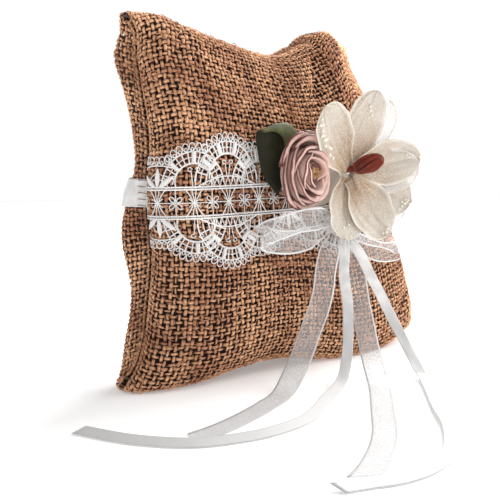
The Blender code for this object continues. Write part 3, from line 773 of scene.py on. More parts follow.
@dataclass
class CushionShape:
    """The cushion's outer surface: sides that pull in between four ears, and a crowned front and back."""

    width: float = 0.200
    height: float = 0.200
    top_right_in: float = 0.016
    bottom_right_out: float = 0.012
    front_bulge: float = 0.032
    back_bulge: float = 0.028
    side_pull: float = 0.019
    top_pull: float = 0.014
    base_sag: float = 0.010
    ear_lift: float = 0.003
    twist: float = 0.013
    lean: float = -0.002
    power: float = 3.2
    seam_gap: float = 0.0009
    side_pinch: float = 0.0215
    ear_full: float = 0.0100
    lip: float = 0.0042
    lip_up: float = 0.0016
    puff_up: float = 0.0022
    right_low: float = 0.0165
    right_high: float = 0.0105
    corner_lift: float = 0.0085
    left_puff: float = 0.0045
    right_puff: float = 0.0060
    front_puff: float = 0.0012
    top_waves: tuple[Row, ...] = (
        (0.052, 0.024, 0.0105), (0.036, 0.0045, -0.003), (-0.082, 0.038, 0.0035), (0.004, 0.026, -0.004)
    )
    base_waves: tuple[Row, ...] = ((-0.012, 0.058, 0.0152),)
    left_swells: tuple[Row, ...] = (
        (0.078, 0.024, 0.0125), (0.018, 0.017, 0.0065), (0.18, 0.015, 0.0105), (0.118, 0.014, -0.005)
    )
    right_swells: tuple[Row, ...] = ((0.050, 0.030, 0.0020),)
    ear_cuts: tuple[Row, ...] = (
        (-1, 1, 0.0090, 0.0045, 0.72),
        (1, 1, 0.0150, 0.0075, 0.50),
        (-1, -1, 0.0020, -0.0026, 0.75),
        (1, -1, 0.0030, 0.0000, 0.75),
    )
    back_folds: tuple[Fold, ...] = (
        Fold(-0.86, -0.14, 0.24, 0.16, 0.0050),
        Fold(-0.88, -0.46, 0.20, 0.10, -0.0035),
        Fold(-0.86, 0.30, 0.20, 0.14, -0.0040),
        Fold(-0.90, 0.62, 0.20, 0.10, 0.0020),
        Fold(-0.90, -0.72, 0.20, 0.10, 0.0020),
        Fold(0.86, 0.10, 0.22, 0.16, 0.0035),
        Fold(0.30, 0.88, 0.09, 0.10, -0.0040, 0.4),
        Fold(-0.25, 0.90, 0.10, 0.09, -0.0030, -0.4),
        Fold(0.05, -0.88, 0.12, 0.09, -0.0030),
    )
    front_folds: tuple[Fold, ...] = (
        Fold(-0.80, 0.80, 0.06, 0.12, -0.0040, 0.9),
        Fold(-0.66, 0.88, 0.08, 0.10, 0.0016, 0.8),
        Fold(-0.86, 0.50, 0.10, 0.12, 0.0020),
        Fold(-0.86, -0.45, 0.10, 0.10, 0.0018),
        Fold(-0.84, -0.74, 0.06, 0.12, -0.0026, -0.8),
        Fold(-0.20, -0.88, 0.10, 0.10, -0.0020, 0.3),
        Fold(0.38, 0.86, 0.055, 0.17, -0.0048, 0.35),
        Fold(0.62, 0.84, 0.11, 0.14, 0.0030, 0.2),
        Fold(0.20, 0.86, 0.08, 0.12, 0.0018, 0.2),
        Fold(0.84, -0.70, 0.07, 0.12, -0.0030, 0.8),
        Fold(0.84, -0.30, 0.10, 0.12, 0.0020),
    )

    def middle_y(self, x: Array, z: Array) -> Array:
        """How far back the middle surface is at x and z."""
        share = (x + self.width / 2) / self.width
        return share * (self.lean + self.twist * (z - self.height / 2) / (self.height / 2))

    def outline(self, u: Array, v: Array) -> tuple[Array, Array]:
        """The plain middle surface.

        Args:
            u, v: places across and up, from -1 to 1.

        Returns:
            The x and the z of each place.
        """
        right, top = (1 + u) / 2, (1 + v) / 2
        right_edge = self.width / 2 + self.bottom_right_out * (1 - top) - self.top_right_in * top
        left_edge = -self.width / 2
        x = left_edge + (right_edge - left_edge) * right - u * abs(u) * self.side_pull * (1 - v * v)
        low = self.ear_lift - (self.base_sag + self.ear_lift) * (1 - u**4)
        high = self.height - self.top_pull * (1 - u * u)
        return x, low + (high - low) * top

    def ruffled(
        self, x: Array, z: Array, u: Array, v: Array
    ) -> tuple[Array, Array]:
        """The seam line as it is sewn: rounded ears, sides that pull in quickly below them, and small waves.

        Args:
            x, z: the plain places.
            u, v: the same places from -1 to 1.

        Returns:
            The x and the z with the waves.
        """
        top, base = smoothstep(v, 0.45, 1.0), smoothstep(-v, 0.45, 1.0)
        lift = self.corner_lift * smoothstep(x, 0.045, 0.112) + swell(x, self.base_waves)
        z = z + top * swell(x, self.top_waves) + base * lift
        wave = 0.0010 * np.sin(z * 105.0)
        pinch = self.side_pull * (1 - v * v) - self.side_pinch * (1 - abs(v) ** 5)
        x = x + u * abs(u) * pinch + wave * abs(u) ** 3
        right = self.right_low * bump(v, -0.58, 0.42) + self.right_high * bump(v, 0.50, 0.28)
        x = x + smoothstep(u, 0.2, 1.0) * right
        for way_u, way_v, across, up, start in self.ear_cuts:
            corner = smoothstep(u * way_u, start, 1.0) * smoothstep(v * way_v, start, 1.0)
            x, z = x - way_u * across * corner, z - way_v * up * corner
        return x, z

    def dressed(self, u: Array, v: Array, side: Side) -> Array:
        """The skin with its folds and the waves of its seam.

        Args:
            u, v: places across and up, from -1 to 1.
            side: the front or the back.

        Returns:
            The points, with x, y and z along the last axis.
        """
        x, z = self.ruffled(*self.outline(u, v), u, v)
        full = np.sqrt(np.maximum((1 - abs(u) ** self.power) * (1 - abs(v) ** self.power), 0.0))
        rim = np.sqrt(np.maximum((1 - abs(u) ** 22) * (1 - abs(v) ** 22), 0.0))
        round_over = 4 * full * (1 - full) * rim
        lip = np.sin(math.pi * rim**0.8)
        low_soft = np.where(v > 0, 1.0, 0.25)
        push = round_over * self.puff(x, z, side) + lip * self.lip
        x = x + np.sign(u) * abs(u) ** 6 * push
        z = z + np.sign(v) * abs(v) ** 6 * (round_over * self.puff_up + lip * self.lip_up) * low_soft
        folds = self.front_folds if side is Side.FRONT else self.back_folds
        rise = sum(fold.rise(u, v) for fold in folds)
        slack = 0.0006 * np.sin(7.0 * u + 4.0 * v + 1.0) * np.sin(5.0 * v - 3.0 * u)
        fade = ((1 - abs(u) ** 6) * (1 - abs(v) ** 6)) ** 0.5
        extra = (rise + slack) * fade + self.ear_full * rim * (1 - full)
        return self._bulged(x, z, u, v, side, extra)

    def puff(self, x: Array, z: Array, side: Side) -> Array:
        """How far the filling pushes the cloth out sideways beyond the seam, which lies in a valley.

        Args:
            x, z: places across, and heights.
            side: the front or the back.

        Returns:
            The push at each place.
        """
        left = self.left_puff + swell(z, self.left_swells)
        right = self.right_puff + swell(z, self.right_swells)
        if side is Side.FRONT:
            left = self.front_puff + 0 * z
        return np.where(x < 0, left, right)

    def _bulged(
        self, x: Array, z: Array, u: Array, v: Array, side: Side, extra: Array | float
    ) -> Array:
        """Points of the middle surface pushed out to the skin.

        Args:
            x, z: the places on the middle surface.
            u, v: the same places from -1 to 1.
            side: the front or the back.
            extra: how much further out than the plain skin.

        Returns:
            The points.
        """
        z = np.maximum(z, 0.0)
        bulge = self.front_bulge if side is Side.FRONT else self.back_bulge
        fullness = np.maximum((1 - abs(u) ** self.power) * (1 - abs(v) ** self.power), 0.0)
        out = self.seam_gap + (bulge - self.seam_gap) * np.sqrt(fullness) + extra
        return np.stack([x, self.middle_y(x, z) + side.value * out, z], axis=-1)

    def level(self, u: Array, z: Array) -> Array:
        """The v at which the plain middle surface is at height z, for each u."""
        low, high = self.outline(u, -1.0 + 0 * u)[1], self.outline(u, 1.0 + 0 * u)[1]
        return 2 * (z - low) / (high - low) - 1

    def front_at(self, x: float, z: float) -> float:
        """How far forward the plain front is at x and z.

        Args:
            x, z: the place across, and the height.

        Returns:
            The y of the front.
        """
        u, v = x / (self.width / 2), 2 * z / self.height - 1
        for _ in range(40):
            now_x, now_z = self.outline(u, v)
            u = min(1.0, max(-1.0, u + (x - now_x) / (self.width / 2)))
            v = min(1.0, max(-1.0, v + 2 * (z - now_z) / self.height))
        return float(self._bulged(*self.outline(u, v), u, v, Side.FRONT, 0.0)[1])


@dataclass
class ClothMap:
    """Places spread evenly over one face, as a square of cloth would lie on it.

    Rows and columns are evened out in turn, by their lengths on the surface, until both are nearly even.
    """

    shape: CushionShape
    side: Side
    size: int = 97
    rounds: int = 8

    def __post_init__(self) -> None:
        """Evens out the places."""
        spread = np.linspace(-1, 1, self.size)
        v, u = np.meshgrid(spread, spread, indexing="ij")
        for _ in range(self.rounds):
            u, v = self._evened(u, v)
            columns = self._evened(u.T, v.T)
            u, v = columns[0].T, columns[1].T
        self.u, self.v = u, v

    def _evened(self, u: Array, v: Array) -> tuple[Array, Array]:
        """Spreads the places of each row evenly along the row.

        Args:
            u, v: places across and up.

        Returns:
            The new places.
        """
        points = self.shape.dressed(u, v, self.side)
        steps = np.linalg.norm(np.diff(points, axis=1), axis=-1)
        lengths = np.concatenate([np.zeros((len(u), 1)), np.cumsum(steps, axis=1)], axis=1)
        new_u, new_v = np.empty_like(u), np.empty_like(v)
        for row, length in enumerate(lengths):
            even = np.linspace(0, length[-1], u.shape[1])
            new_u[row] = np.interp(even, length, u[row])
            new_v[row] = np.interp(even, length, v[row])
        return new_u, new_v

    def places(self, s: Array, t: Array) -> tuple[Array, Array]:
        """The places on the face for places on the flat cloth.

        Args:
            s, t: places across and up the cloth, from -1 to 1.

        Returns:
            The u and the v of each.
        """
        column = (np.clip(s, -1, 1) + 1) / 2 * (self.size - 1)
        row = (np.clip(t, -1, 1) + 1) / 2 * (self.size - 1)
        left = np.minimum(column.astype(int), self.size - 2)
        low = np.minimum(row.astype(int), self.size - 2)
        across, up = column - left, row - low
        found = []
        for values in (self.u, self.v):
            lower = values[low, left] * (1 - across) + values[low, left + 1] * across
            upper = values[low + 1, left] * (1 - across) + values[low + 1, left + 1] * across
            found.append(lower * (1 - up) + upper * up)
        return found[0], found[1]

    def points(self, s: Array, t: Array) -> tuple[Array, Array]:
        """The points and outward normals for places on the flat cloth.

        Args:
            s, t: places across and up the cloth, from -1 to 1.

        Returns:
            The points, and the normals.
        """
        step = 0.012
        corners = []
        for ds, dt in ((0, 0), (step, 0), (-step, 0), (0, step), (0, -step)):
            u, v = self.places(s + ds, t + dt)
            corners.append(self.shape.dressed(u, v, self.side))
        normals = np.cross(corners[1] - corners[2], corners[3] - corners[4])
        return corners[0], unit(normals) * (1 if self.side is Side.FRONT else -1)


@dataclass
class Cushion:
    """The padded cushion: filling, brown lining, woven burlap front and back, and the seam."""

    shape: CushionShape
    finishes: Finishes
    warp: int = 74
    weft: int = 82
    half_width: float = 0.00070
    half_thick: float = 0.00046
    swing: float = 0.00056
    fuzz: int = 1500
    cloth_depth: float = 0.00090
    lining_depth: float = 0.0019
    filling_depth: float = 0.0040
    lining_inset: float = 0.002
    filling_inset: float = 0.22
    stitch_pitch: float = 0.0034
    fill: float = 0.85
    front_detail: int = 4
    back_detail: int = 3
    maps: dict[Side, ClothMap] = field(default_factory=dict)

    def build(self) -> None:
        """Builds every piece of the cushion."""
        self.maps = {side: ClothMap(self.shape, side) for side in Side}
        burlap = self.finishes.burlap.material()
        lining, fibre = self.finishes.lining.material(), self.finishes.fibre.material()
        body = self._body("cushion_lining", self.lining_depth, self.lining_inset, lining, "lining")
        core = self._body("filling", self.filling_depth, self.filling_inset, fibre, "fibre")
        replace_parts(body, "front_lining", "back_lining")
        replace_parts(core, "stuffing")
        for side, detail in ((Side.FRONT, self.front_detail), (Side.BACK, self.back_detail)):
            for run in Run:
                piece = self._threads(side, run, detail, burlap)
                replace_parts(piece, f"{side.name.lower()}_cover")
        self._stitches()
        self._fuzz(burlap)

    def _fuzz(self, material: Material) -> None:
        """The loose jute fibres that lie across the cloth or stand a little off it.

        Args:
            material: their finish.
        """
        rng = np.random.default_rng(23)
        bundle = Bundle()
        share = np.linspace(-0.5, 0.5, 9)
        for side in Side:
            for _ in range(self.fuzz if side is Side.FRONT else self.fuzz // 3):
                s0, t0, turn = rng.uniform(-0.97, 0.97), rng.uniform(-0.97, 0.97), rng.uniform(0, math.tau)
                length, bend = rng.uniform(0.025, 0.075), rng.uniform(-2.2, 2.2)
                angle = turn + bend * share
                s, t = s0 + length * share * np.cos(angle), t0 + length * share * np.sin(angle)
                points, normals = self.maps[side].points(np.clip(s, -0.99, 0.99), np.clip(t, -0.99, 0.99))
                up = 0.0001 + 0.0008 * rng.uniform(0, 1) ** 3 * np.cos(math.pi * share) ** 2
                points = points + normals * up[:, None]
                points[:, 2] = np.maximum(points[:, 2], 0.0004)
                radius = rng.uniform(0.00010, 0.00022) * np.cos(share * 2.6)
                bundle.strand(points, normals, radius, radius, 4, rng.uniform(0, 60))
        bundle.piece("burlap_fuzz", material, "burlap")

    def _body(self, name: str, depth: float, inset: float, material: Material, slot: str) -> Piece:
        """A closed padded body inside the burlap.

        Args:
            name: the piece's name.
            depth: how far it lies inside the burlap.
            inset: how far its rim lies inside the seam, as a share of the cushion.
            material: its finish.
            slot: the record's slot.

        Returns:
            The piece.
        """
        spread = np.sin(np.linspace(-math.pi / 2, math.pi / 2, 89)) * (1 - inset)
        t, s = np.meshgrid(spread, spread, indexing="ij")
        halves = []
        for side in Side:
            points, normals = self.maps[side].points(s, t)
            halves.append(points - normals * depth)
        seam = (halves[0] + halves[1]) / 2
        edge = np.maximum(abs(s), abs(t)) > spread[-1] - 1e-6
        thin = 1 - 0.4 * (abs(s * t) / spread[-1] ** 2)[..., None] ** 2
        for half in halves:
            half[...] = seam + (half - seam) * thin
            half[edge] = seam[edge]
            half[..., 2] = np.maximum(half[..., 2], depth)
        bundle = Bundle()
        quads = grid_quads(89, 89)
        bundle.add(halves[0], quads, np.zeros(3))
        bundle.add(halves[1], quads[:, ::-1], np.zeros(3))
        piece = bundle.piece(name, material, slot)
        return piece

    def _threads(self, side: Side, run: Run, detail: int, material: Material) -> Piece:
        """The warp or the weft of one face, each thread passing over and under those that cross it.

        Args:
            side: the front or the back.
            run: warp threads run up, and weft threads run across.
            detail: how many points a thread has between two crossings.
            material: its finish.

        Returns:
            The piece.
        """
        rng = np.random.default_rng(11 + 2 * side.value + (5 if run is Run.WARP else 0))
        own, others = (self.warp, self.weft) if run is Run.WARP else (self.weft, self.warp)
        count = others * detail - 1
        along = np.linspace(-0.996, 0.996, count)
        crossing = (along + 1) / 2 * others - 0.5
        pitch = 2.0 / own
        bundle = Bundle()
        for index in range(own):
            middle = -1 + (index + 0.5) * pitch + 0.12 * pitch * rng.uniform(-1, 1)
            wander = middle + (0.20 * slow_noise(count, 14, rng) + 0.13 * slow_noise(count, 60, rng)) * pitch
            s, t = (wander, along) if run is Run.WARP else (along, wander)
            points, normals = self.maps[side].points(s, t)
            phase = 0 if run is Run.WARP else 1
            height = self.swing * np.cos(math.pi * (crossing + index + phase))
            points = points + normals * (height - self.cloth_depth)[:, None]
            body = 1 + 0.20 * rng.uniform(-1, 1) + 0.24 * slow_noise(count, 26, rng)
            body = body + 0.16 * slow_noise(count, 90, rng)
            points[:, 2] = np.maximum(points[:, 2], self.half_width * 1.3)
            wide, thick = self.half_width * body, self.half_thick * (0.6 + 0.4 * body)
            # deep: how far the thread dips under its crossing neighbour, read by the finish as painted shade
            deep = 0.5 - 0.5 * height / self.swing
            bundle.strand(points, normals, wide, thick, 4, rng.uniform(0, 60), deep)
        piece = bundle.piece(f"{side.name.lower()}_{run.value}", material, "burlap")
        return piece

    def _stitches(self) -> None:
        """The thread that sews the two faces together all round."""
        corners = ((-1, -1), (1, -1), (1, 1), (-1, 1))
        bundle = Bundle()
        for (u0, v0), (u1, v1) in zip(corners, corners[1:] + corners[:1], strict=True):
            count = int(self.shape.width / self.stitch_pitch)
            share = (np.arange(count) + 0.5) / count
            u, v = u0 + (u1 - u0) * share, v0 + (v1 - v0) * share
            front = self.shape.dressed(u * 0.998, v * 0.998, Side.FRONT)
            back = self.shape.dressed(u * 0.998, v * 0.998, Side.BACK)
            for start, end in zip(front, back, strict=True):
                turn = np.linspace(0, 1, 5)[:, None]
                line = start + (end - start) * turn
                line[:, 2] = np.maximum(line[:, 2], 0.0006)
                hint = np.tile(np.array([0.3, 0.1, 0.9]), (5, 1))
                bundle.strand(line, hint, 0.00022, 0.00022, 5, float(start[2] * 900))
        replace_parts(bundle.piece("seam_stitches", self.finishes.seam.material(), "thread"), "seam_thread")


# ---- the trim ----


@dataclass
class Lace:
    """The openwork band across the front, drawn in lengths along the band and heights from its middle."""

    cloth: ClothMap
    finishes: Finishes
    height: float = 0.1015
    slope: float = 0.016
    tall: float = 0.072
    closed: float = 0.68
    lift: float = 0.00045
    cord_gap: float = 0.0075
    cell: float = 0.0195
    first_palmette: float = 0.0125
    step: float = 0.0006
    cord: float = 0.00047
    line: float = 0.00038
    thin: float = 0.00026
    small_fan: tuple[float, float, float] = (0.0170, 0.0183, 0.0125)
    tall_fan: tuple[float, float, float] = (0.0192, 0.0232, 0.0172)
    picot: float = 0.0034
    bundle: Bundle = field(default_factory=Bundle)

    def build(self) -> None:
        """Draws every thread, and makes the band of them."""
        self._measure()
        self._cords()
        centre = self.first_palmette
        fans: list[tuple[float, tuple[float, float, float]]] = []
        while centre < self.length + 2 * self.cell:
            fans += [(centre + self.cell, self.small_fan), (centre + 2 * self.cell, self.tall_fan)]
            fans.append((centre + 3 * self.cell, self.small_fan))
            for way in (-1, 1):
                self._palmette(centre, way)
                self._lens(centre + 2 * self.cell, way)
            centre += 4 * self.cell
        for way in (-1, 1):
            for middle, fan in fans:
                self._fan(middle, fan, way)
            self._edge(fans, way)
        piece = self.bundle.piece("lace", self.finishes.lace.material(), "lace")
        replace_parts(piece, "lace_band")

    @property
    def base(self) -> float:
        """How far out from the band's middle the fans start, at the cord's edge."""
        return self.cord_gap + 0.0006

    def _measure(self) -> None:
        """Measures the length along the front at the band's height."""
        shape = self.cloth.shape
        u = np.sin(np.linspace(-math.pi / 2, math.pi / 2, 1201)) * 0.9999
        v = shape.level(u, self.height + 0 * u)
        points = shape.dressed(u, v, Side.FRONT)
        self.table = (lengths_along(points), u)
        self.length = float(self.table[0][-1])

    def _lay(self, runs: Array, heights: Array, up: float = 0.0) -> tuple[Array, Array]:
        """Places points of the drawing on the cushion.

        Args:
            runs, heights: lengths along the band, and heights from its middle.
            up: how far above the band's own level.

        Returns:
            The points, and the normals.
        """
        shape = self.cloth.shape
        tilt = self.slope * runs
        step = 0.0008
        found = []
        for dr, dh in ((0, 0), (step, 0), (-step, 0), (0, step), (0, -step)):
            u = np.interp(runs + dr, *self.table)
            v = shape.level(u, self.height + tilt + heights + dh)
            found.append(shape.dressed(u, v, Side.FRONT))
        normals = unit(np.cross(found[1] - found[2], found[3] - found[4]))
        return found[0] + normals * (self.lift + up), normals

    def _draw(self, runs: object, heights: object, radius: float, up: float = 0.0) -> None:
        """Sews one thread along a line of the drawing, where it is on the cushion.

        Args:
            runs, heights: lengths along the band, and heights from its middle.
            radius: half the thread's width.
            up: how far above the band's own level.
        """
        runs, heights = np.asarray(runs, dtype=float), np.asarray(heights, dtype=float)
        length = np.concatenate([[0], np.cumsum(np.hypot(np.diff(runs), np.diff(heights)))])
        if length[-1] < 1e-4:
            return
        even = np.linspace(0, length[-1], max(3, int(length[-1] / self.step) + 1))
        runs, heights = np.interp(even, length, runs), np.interp(even, length, heights)
        inside = (runs > 0.0004) & (runs < self.length - 0.0004)
        if inside.sum() < 3:
            return
        runs, heights, even = runs[inside], heights[inside], even[inside]
        points, normals = self._lay(runs, heights, up)
        twist = 1 + 0.14 * np.sin(even * 5200 + heights[0] * 900)
        self.bundle.strand(points, normals, radius * twist, radius * 0.75, 5, float(runs[0] * 400))

    def _cords(self) -> None:
        """The two double cords, the row of crosses and flowers between them, and the middle thread."""
        runs = np.arange(0, self.length, self.step)
        flat = np.zeros_like(runs)
        for way in (-1, 1):
            for offset in (-0.00062, 0.00062):
                self._draw(runs, flat + way * self.cord_gap + offset, self.cord, 0.0002)
        self._draw(runs, flat, self.thin)
        centre = self.first_palmette - self.cell
        while centre < self.length + self.cell:
            self._cross(centre)
            self._flower(centre + self.cell / 2)
            centre += self.cell

    def _cross(self, centre: float) -> None:
        """One cross between the cords: two curved threads that touch, and two straight ones.

        Args:
            centre: its place along the band.
        """
        rise = np.linspace(-1, 1, 25)
        for way in (-1, 1):
            bow = 0.0008 + 0.0042 * abs(rise) ** 1.5
            self._draw(centre + way * bow, rise * self.cord_gap, self.line * 0.85)
            self._draw(centre + way * 0.0013 * abs(rise), rise * self.cord_gap, self.thin)
            self._draw(centre + way * 0.0030 * rise, rise * 0.0022, self.thin)

    def _flower(self, centre: float) -> None:
        """One four-looped flower between two crosses, on its upright thread.

        Args:
            centre: its place along the band.
        """
        self._draw([centre, centre], [-self.cord_gap, self.cord_gap], self.thin)
        turn = np.linspace(0, math.tau, 15)
        for angle in (0.7, 2.3, 3.85, 5.5):
            out = 0.0026 + 0.0017 * np.cos(turn)
            side = 0.0010 * np.sin(turn)
            runs = centre + out * math.cos(angle) - side * math.sin(angle)
            self._draw(runs, out * math.sin(angle) + side * math.cos(angle), self.thin, 0.0002)

    def _palmette(self, centre: float, way: int) -> None:
        """Three closed leaves under a shallow arch, outside the cord.

        Args:
            centre: its place along the band.
            way: 1 above the band's middle, and -1 below.
        """
        base, length = self.base, 0.0098
        for lean in (-0.92, 0.0, 0.92):
            share = np.linspace(0, 1, 17)
            run = centre + 0.0012 * lean + share * length * math.sin(lean)
            rise = base + share * length * math.cos(lean)
            wide = 0.0004 + 0.0011 * np.sin(math.pi * np.clip(share * 1.05, 0, 1)) ** 0.8
            points, normals = self._lay(run, way * rise, 0.0001)
            inside = (run > 0.0006) & (run < self.length - 0.0006)
            if inside.sum() > 3:
                self.bundle.strand(points[inside], normals[inside], wide[inside], 0.0004, 6, centre * 300)
        share = np.linspace(-1, 1, 21)
        for low, high in ((0.0030, 0.0042), (0.0012, 0.0030)):
            self._draw(centre + share * 0.0052, way * (base + low + high * (1 - share**2)), self.thin)
        for foot in (-0.0062, 0.0062):
            self._draw([centre + foot, centre + foot * 0.65], [way * base, way * (base + 0.0042)], self.thin)
        self._draw(centre + share * 0.0125, way * (base + 0.0112 - 0.0028 * share**2), self.line)

    def _lens(self, centre: float, way: int) -> None:
        """The low arch over the cord under the tall fan, filled with a zig-zag and small blocks.

        Args:
            centre: its place along the band.
            way: 1 above the band's middle, and -1 below.
        """
        share = np.linspace(-1, 1, 41)
        base = self.base
        half, tall = 0.0178, 0.0052
        self._draw(centre + share * half, way * (base + tall * (1 - share**2)), self.line)
        corners = np.linspace(-0.86, 0.86, 19)
        rise = np.where(np.arange(19) % 2 == 0, 0.0, 1.0) * tall * (1 - corners**2)
        self._draw(centre + corners * half, way * (base + rise), self.thin)
        for place in corners[1::2]:
            top = base + tall * (1 - place**2)
            self._draw(
                [centre + place * half, centre + place * half], [way * (top - 0.0012), way * top], self.line
            )

    def _ellipse(
        self, centre: float, half: float, tall: float, lift: float, start: float, end: float
    ) -> tuple[Array, Array]:
        """Part of an upright oval outside the cord.

        Args:
            centre: its place along the band.
            half: half its width.
            tall: its height above its own middle.
            lift: how far its middle is above the cord.
            start: the first angle, from the right.
            end: the last angle.

        Returns:
            The lengths along the band, and the heights.
        """
        turn = np.linspace(start, end, 61)
        return centre + half * np.cos(turn), self.base + lift + tall * np.sin(turn)

    def _fan(self, centre: float, fan: tuple[float, float, float], way: int) -> None:
        """One fan: a double border joined by bars and blocks, an inner petal, and a stem with two curls.

        Args:
            centre: its place along the band.
            fan: half its width, its height, and the height of its inner line.
            way: 1 above the band's middle, and -1 below.
        """
        half, tall, inner = fan
        depth = tall - inner
        for share, radius in ((0.0, self.line * 1.1), (0.5, self.thin), (1.0, self.line)):
            runs, heights = self._ellipse(
                centre, half - depth * share, tall - depth * share, 0.0, 0.12, math.pi - 0.12
            )
            self._draw(runs, way * heights, radius)
        bars = 17 if fan is self.tall_fan else 13
        for k, turn in enumerate(np.linspace(0.35, math.pi - 0.35, bars)):
            line = np.array([0.04, 0.96])
            runs = centre + (half - depth * line) * math.cos(turn)
            heights = self.base + (tall - depth * line) * math.sin(turn)
            block = k % 4 == 2
            self._draw(runs, way * heights, 0.00125 if block else self.line, 0.0001)
        lift = 0.0055 if fan is self.tall_fan else 0.0030
        runs, heights = self._ellipse(
            centre, half * 0.58, inner - lift - 0.0004, lift, -0.75, math.pi + 0.75
        )
        keep = heights > self.cord_gap + (0.0045 if fan is self.tall_fan else 0.0006)
        self._draw(runs[keep], way * heights[keep], self.line)
        stem = self.cord_gap + (0.0058 if fan is self.tall_fan else 0.0008)
        top = self.cord_gap + inner * 0.72
        for offset in (-0.0006, 0.0006):
            self._draw([centre + offset, centre + offset * 2.4], [way * stem, way * top], self.thin)
        turn = np.linspace(0, 1.75 * math.pi, 19)
        for side in (-1, 1):
            curl = 0.0013 * (1 - 0.25 * turn / math.pi)
            runs = centre + side * (0.0022 - curl * np.cos(turn))
            self._draw(runs, way * (top + 0.0006 + curl * np.sin(turn)), self.thin, 0.0001)

    def _edge(self, fans: Sequence[tuple[float, tuple[float, float, float]]], way: int) -> None:
        """The row of small picot loops round the outside of the fans.

        Args:
            fans: the middle and the size of each fan.
            way: 1 above the band's middle, and -1 below.
        """
        runs = np.arange(0.0005, self.length, 0.0002)
        heights = np.full_like(runs, self.cord_gap + 0.0118)
        for centre, (half, tall, _) in fans:
            share = np.clip(1 - ((runs - centre) / half) ** 2, 0, None)
            heights = np.maximum(heights, self.base + tall * np.sqrt(share))
        length = lengths_along(np.stack([runs, heights], axis=-1))
        places = np.arange(self.picot / 2, length[-1], self.picot * 0.92)
        turn = np.linspace(-0.5 * math.pi, 1.5 * math.pi, 15)
        for place in places:
            run, height = np.interp(place, length, runs), np.interp(place, length, heights)
            beside = (place - 0.001, place + 0.001)
            along = np.array([np.diff(np.interp(beside, length, line))[0] for line in (runs, heights)])
            along /= np.hypot(*along)
            out = np.array([-along[1], along[0]])
            for size, radius in ((1.0, self.thin), (0.45, self.thin * 0.8)):
                side = self.picot * 0.46 * size * np.cos(turn)
                rise = self.picot * (0.12 + 0.62 * size * (1 + np.sin(turn)))
                loop = run + along[0] * side + out[0] * rise
                heights_of_loop = way * (height + along[1] * side + out[1] * rise)
                self._draw(loop, heights_of_loop, radius, 0.0002 * (size < 1))


@dataclass
class HandStrap:
    """The satin strap across the back, sewn into both side seams, with slack for a hand."""

    shape: CushionShape
    finishes: Finishes
    width: float = 0.015
    thick: float = 0.0005
    height: float = 0.106
    lift: float = 0.0011
    slack: float = 0.010
    slack_share: float = 0.55
    margin: float = 0.00004

    def build(self) -> None:
        """Builds the strap."""
        end = 1 - self.margin / (self.shape.width / 2)
        u = end * np.sin(np.linspace(-math.pi / 2, math.pi / 2, 161))[:, None]
        across = np.linspace(-1, 1, 15)[None, :]
        z = self.height + across * self.width / 2 + 0 * u
        v = self.shape.level(u + 0 * across, z)
        points = self.shape.dressed(u + 0 * across, v, Side.BACK)
        out = np.gradient(points, axis=0)
        normals = unit(np.cross(np.gradient(points, axis=1), out))
        loose = self.slack * smoothstep((1 - abs(u)) / self.slack_share)
        rise = self.lift + 0.0004 * np.cos(across * 3.0) + 0.0009 * smoothstep((abs(u) - 0.86) / 0.08)
        points = points + normals * rise[..., None]
        points[..., 1] += (loose + 0.0003 * np.sin(u * 40 + across * 2)) + 0 * across
        sewn = smoothstep((abs(u) - 0.984) / 0.015)[..., None]
        edge = self.shape.dressed(np.sign(u) + 0 * across, v, Side.BACK)
        edge[..., 1] = 0.0004
        points = points + (edge - points) * sewn
        bundle = Bundle()
        length = float(np.linalg.norm(np.diff(points[:, 7], axis=0), axis=1).sum())
        slab(bundle, points, self.thick, sheet_lay(161, 15, length))
        piece = bundle.piece("strap", self.finishes.satin.material(), "satin")
        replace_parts(piece, "hand_strap")


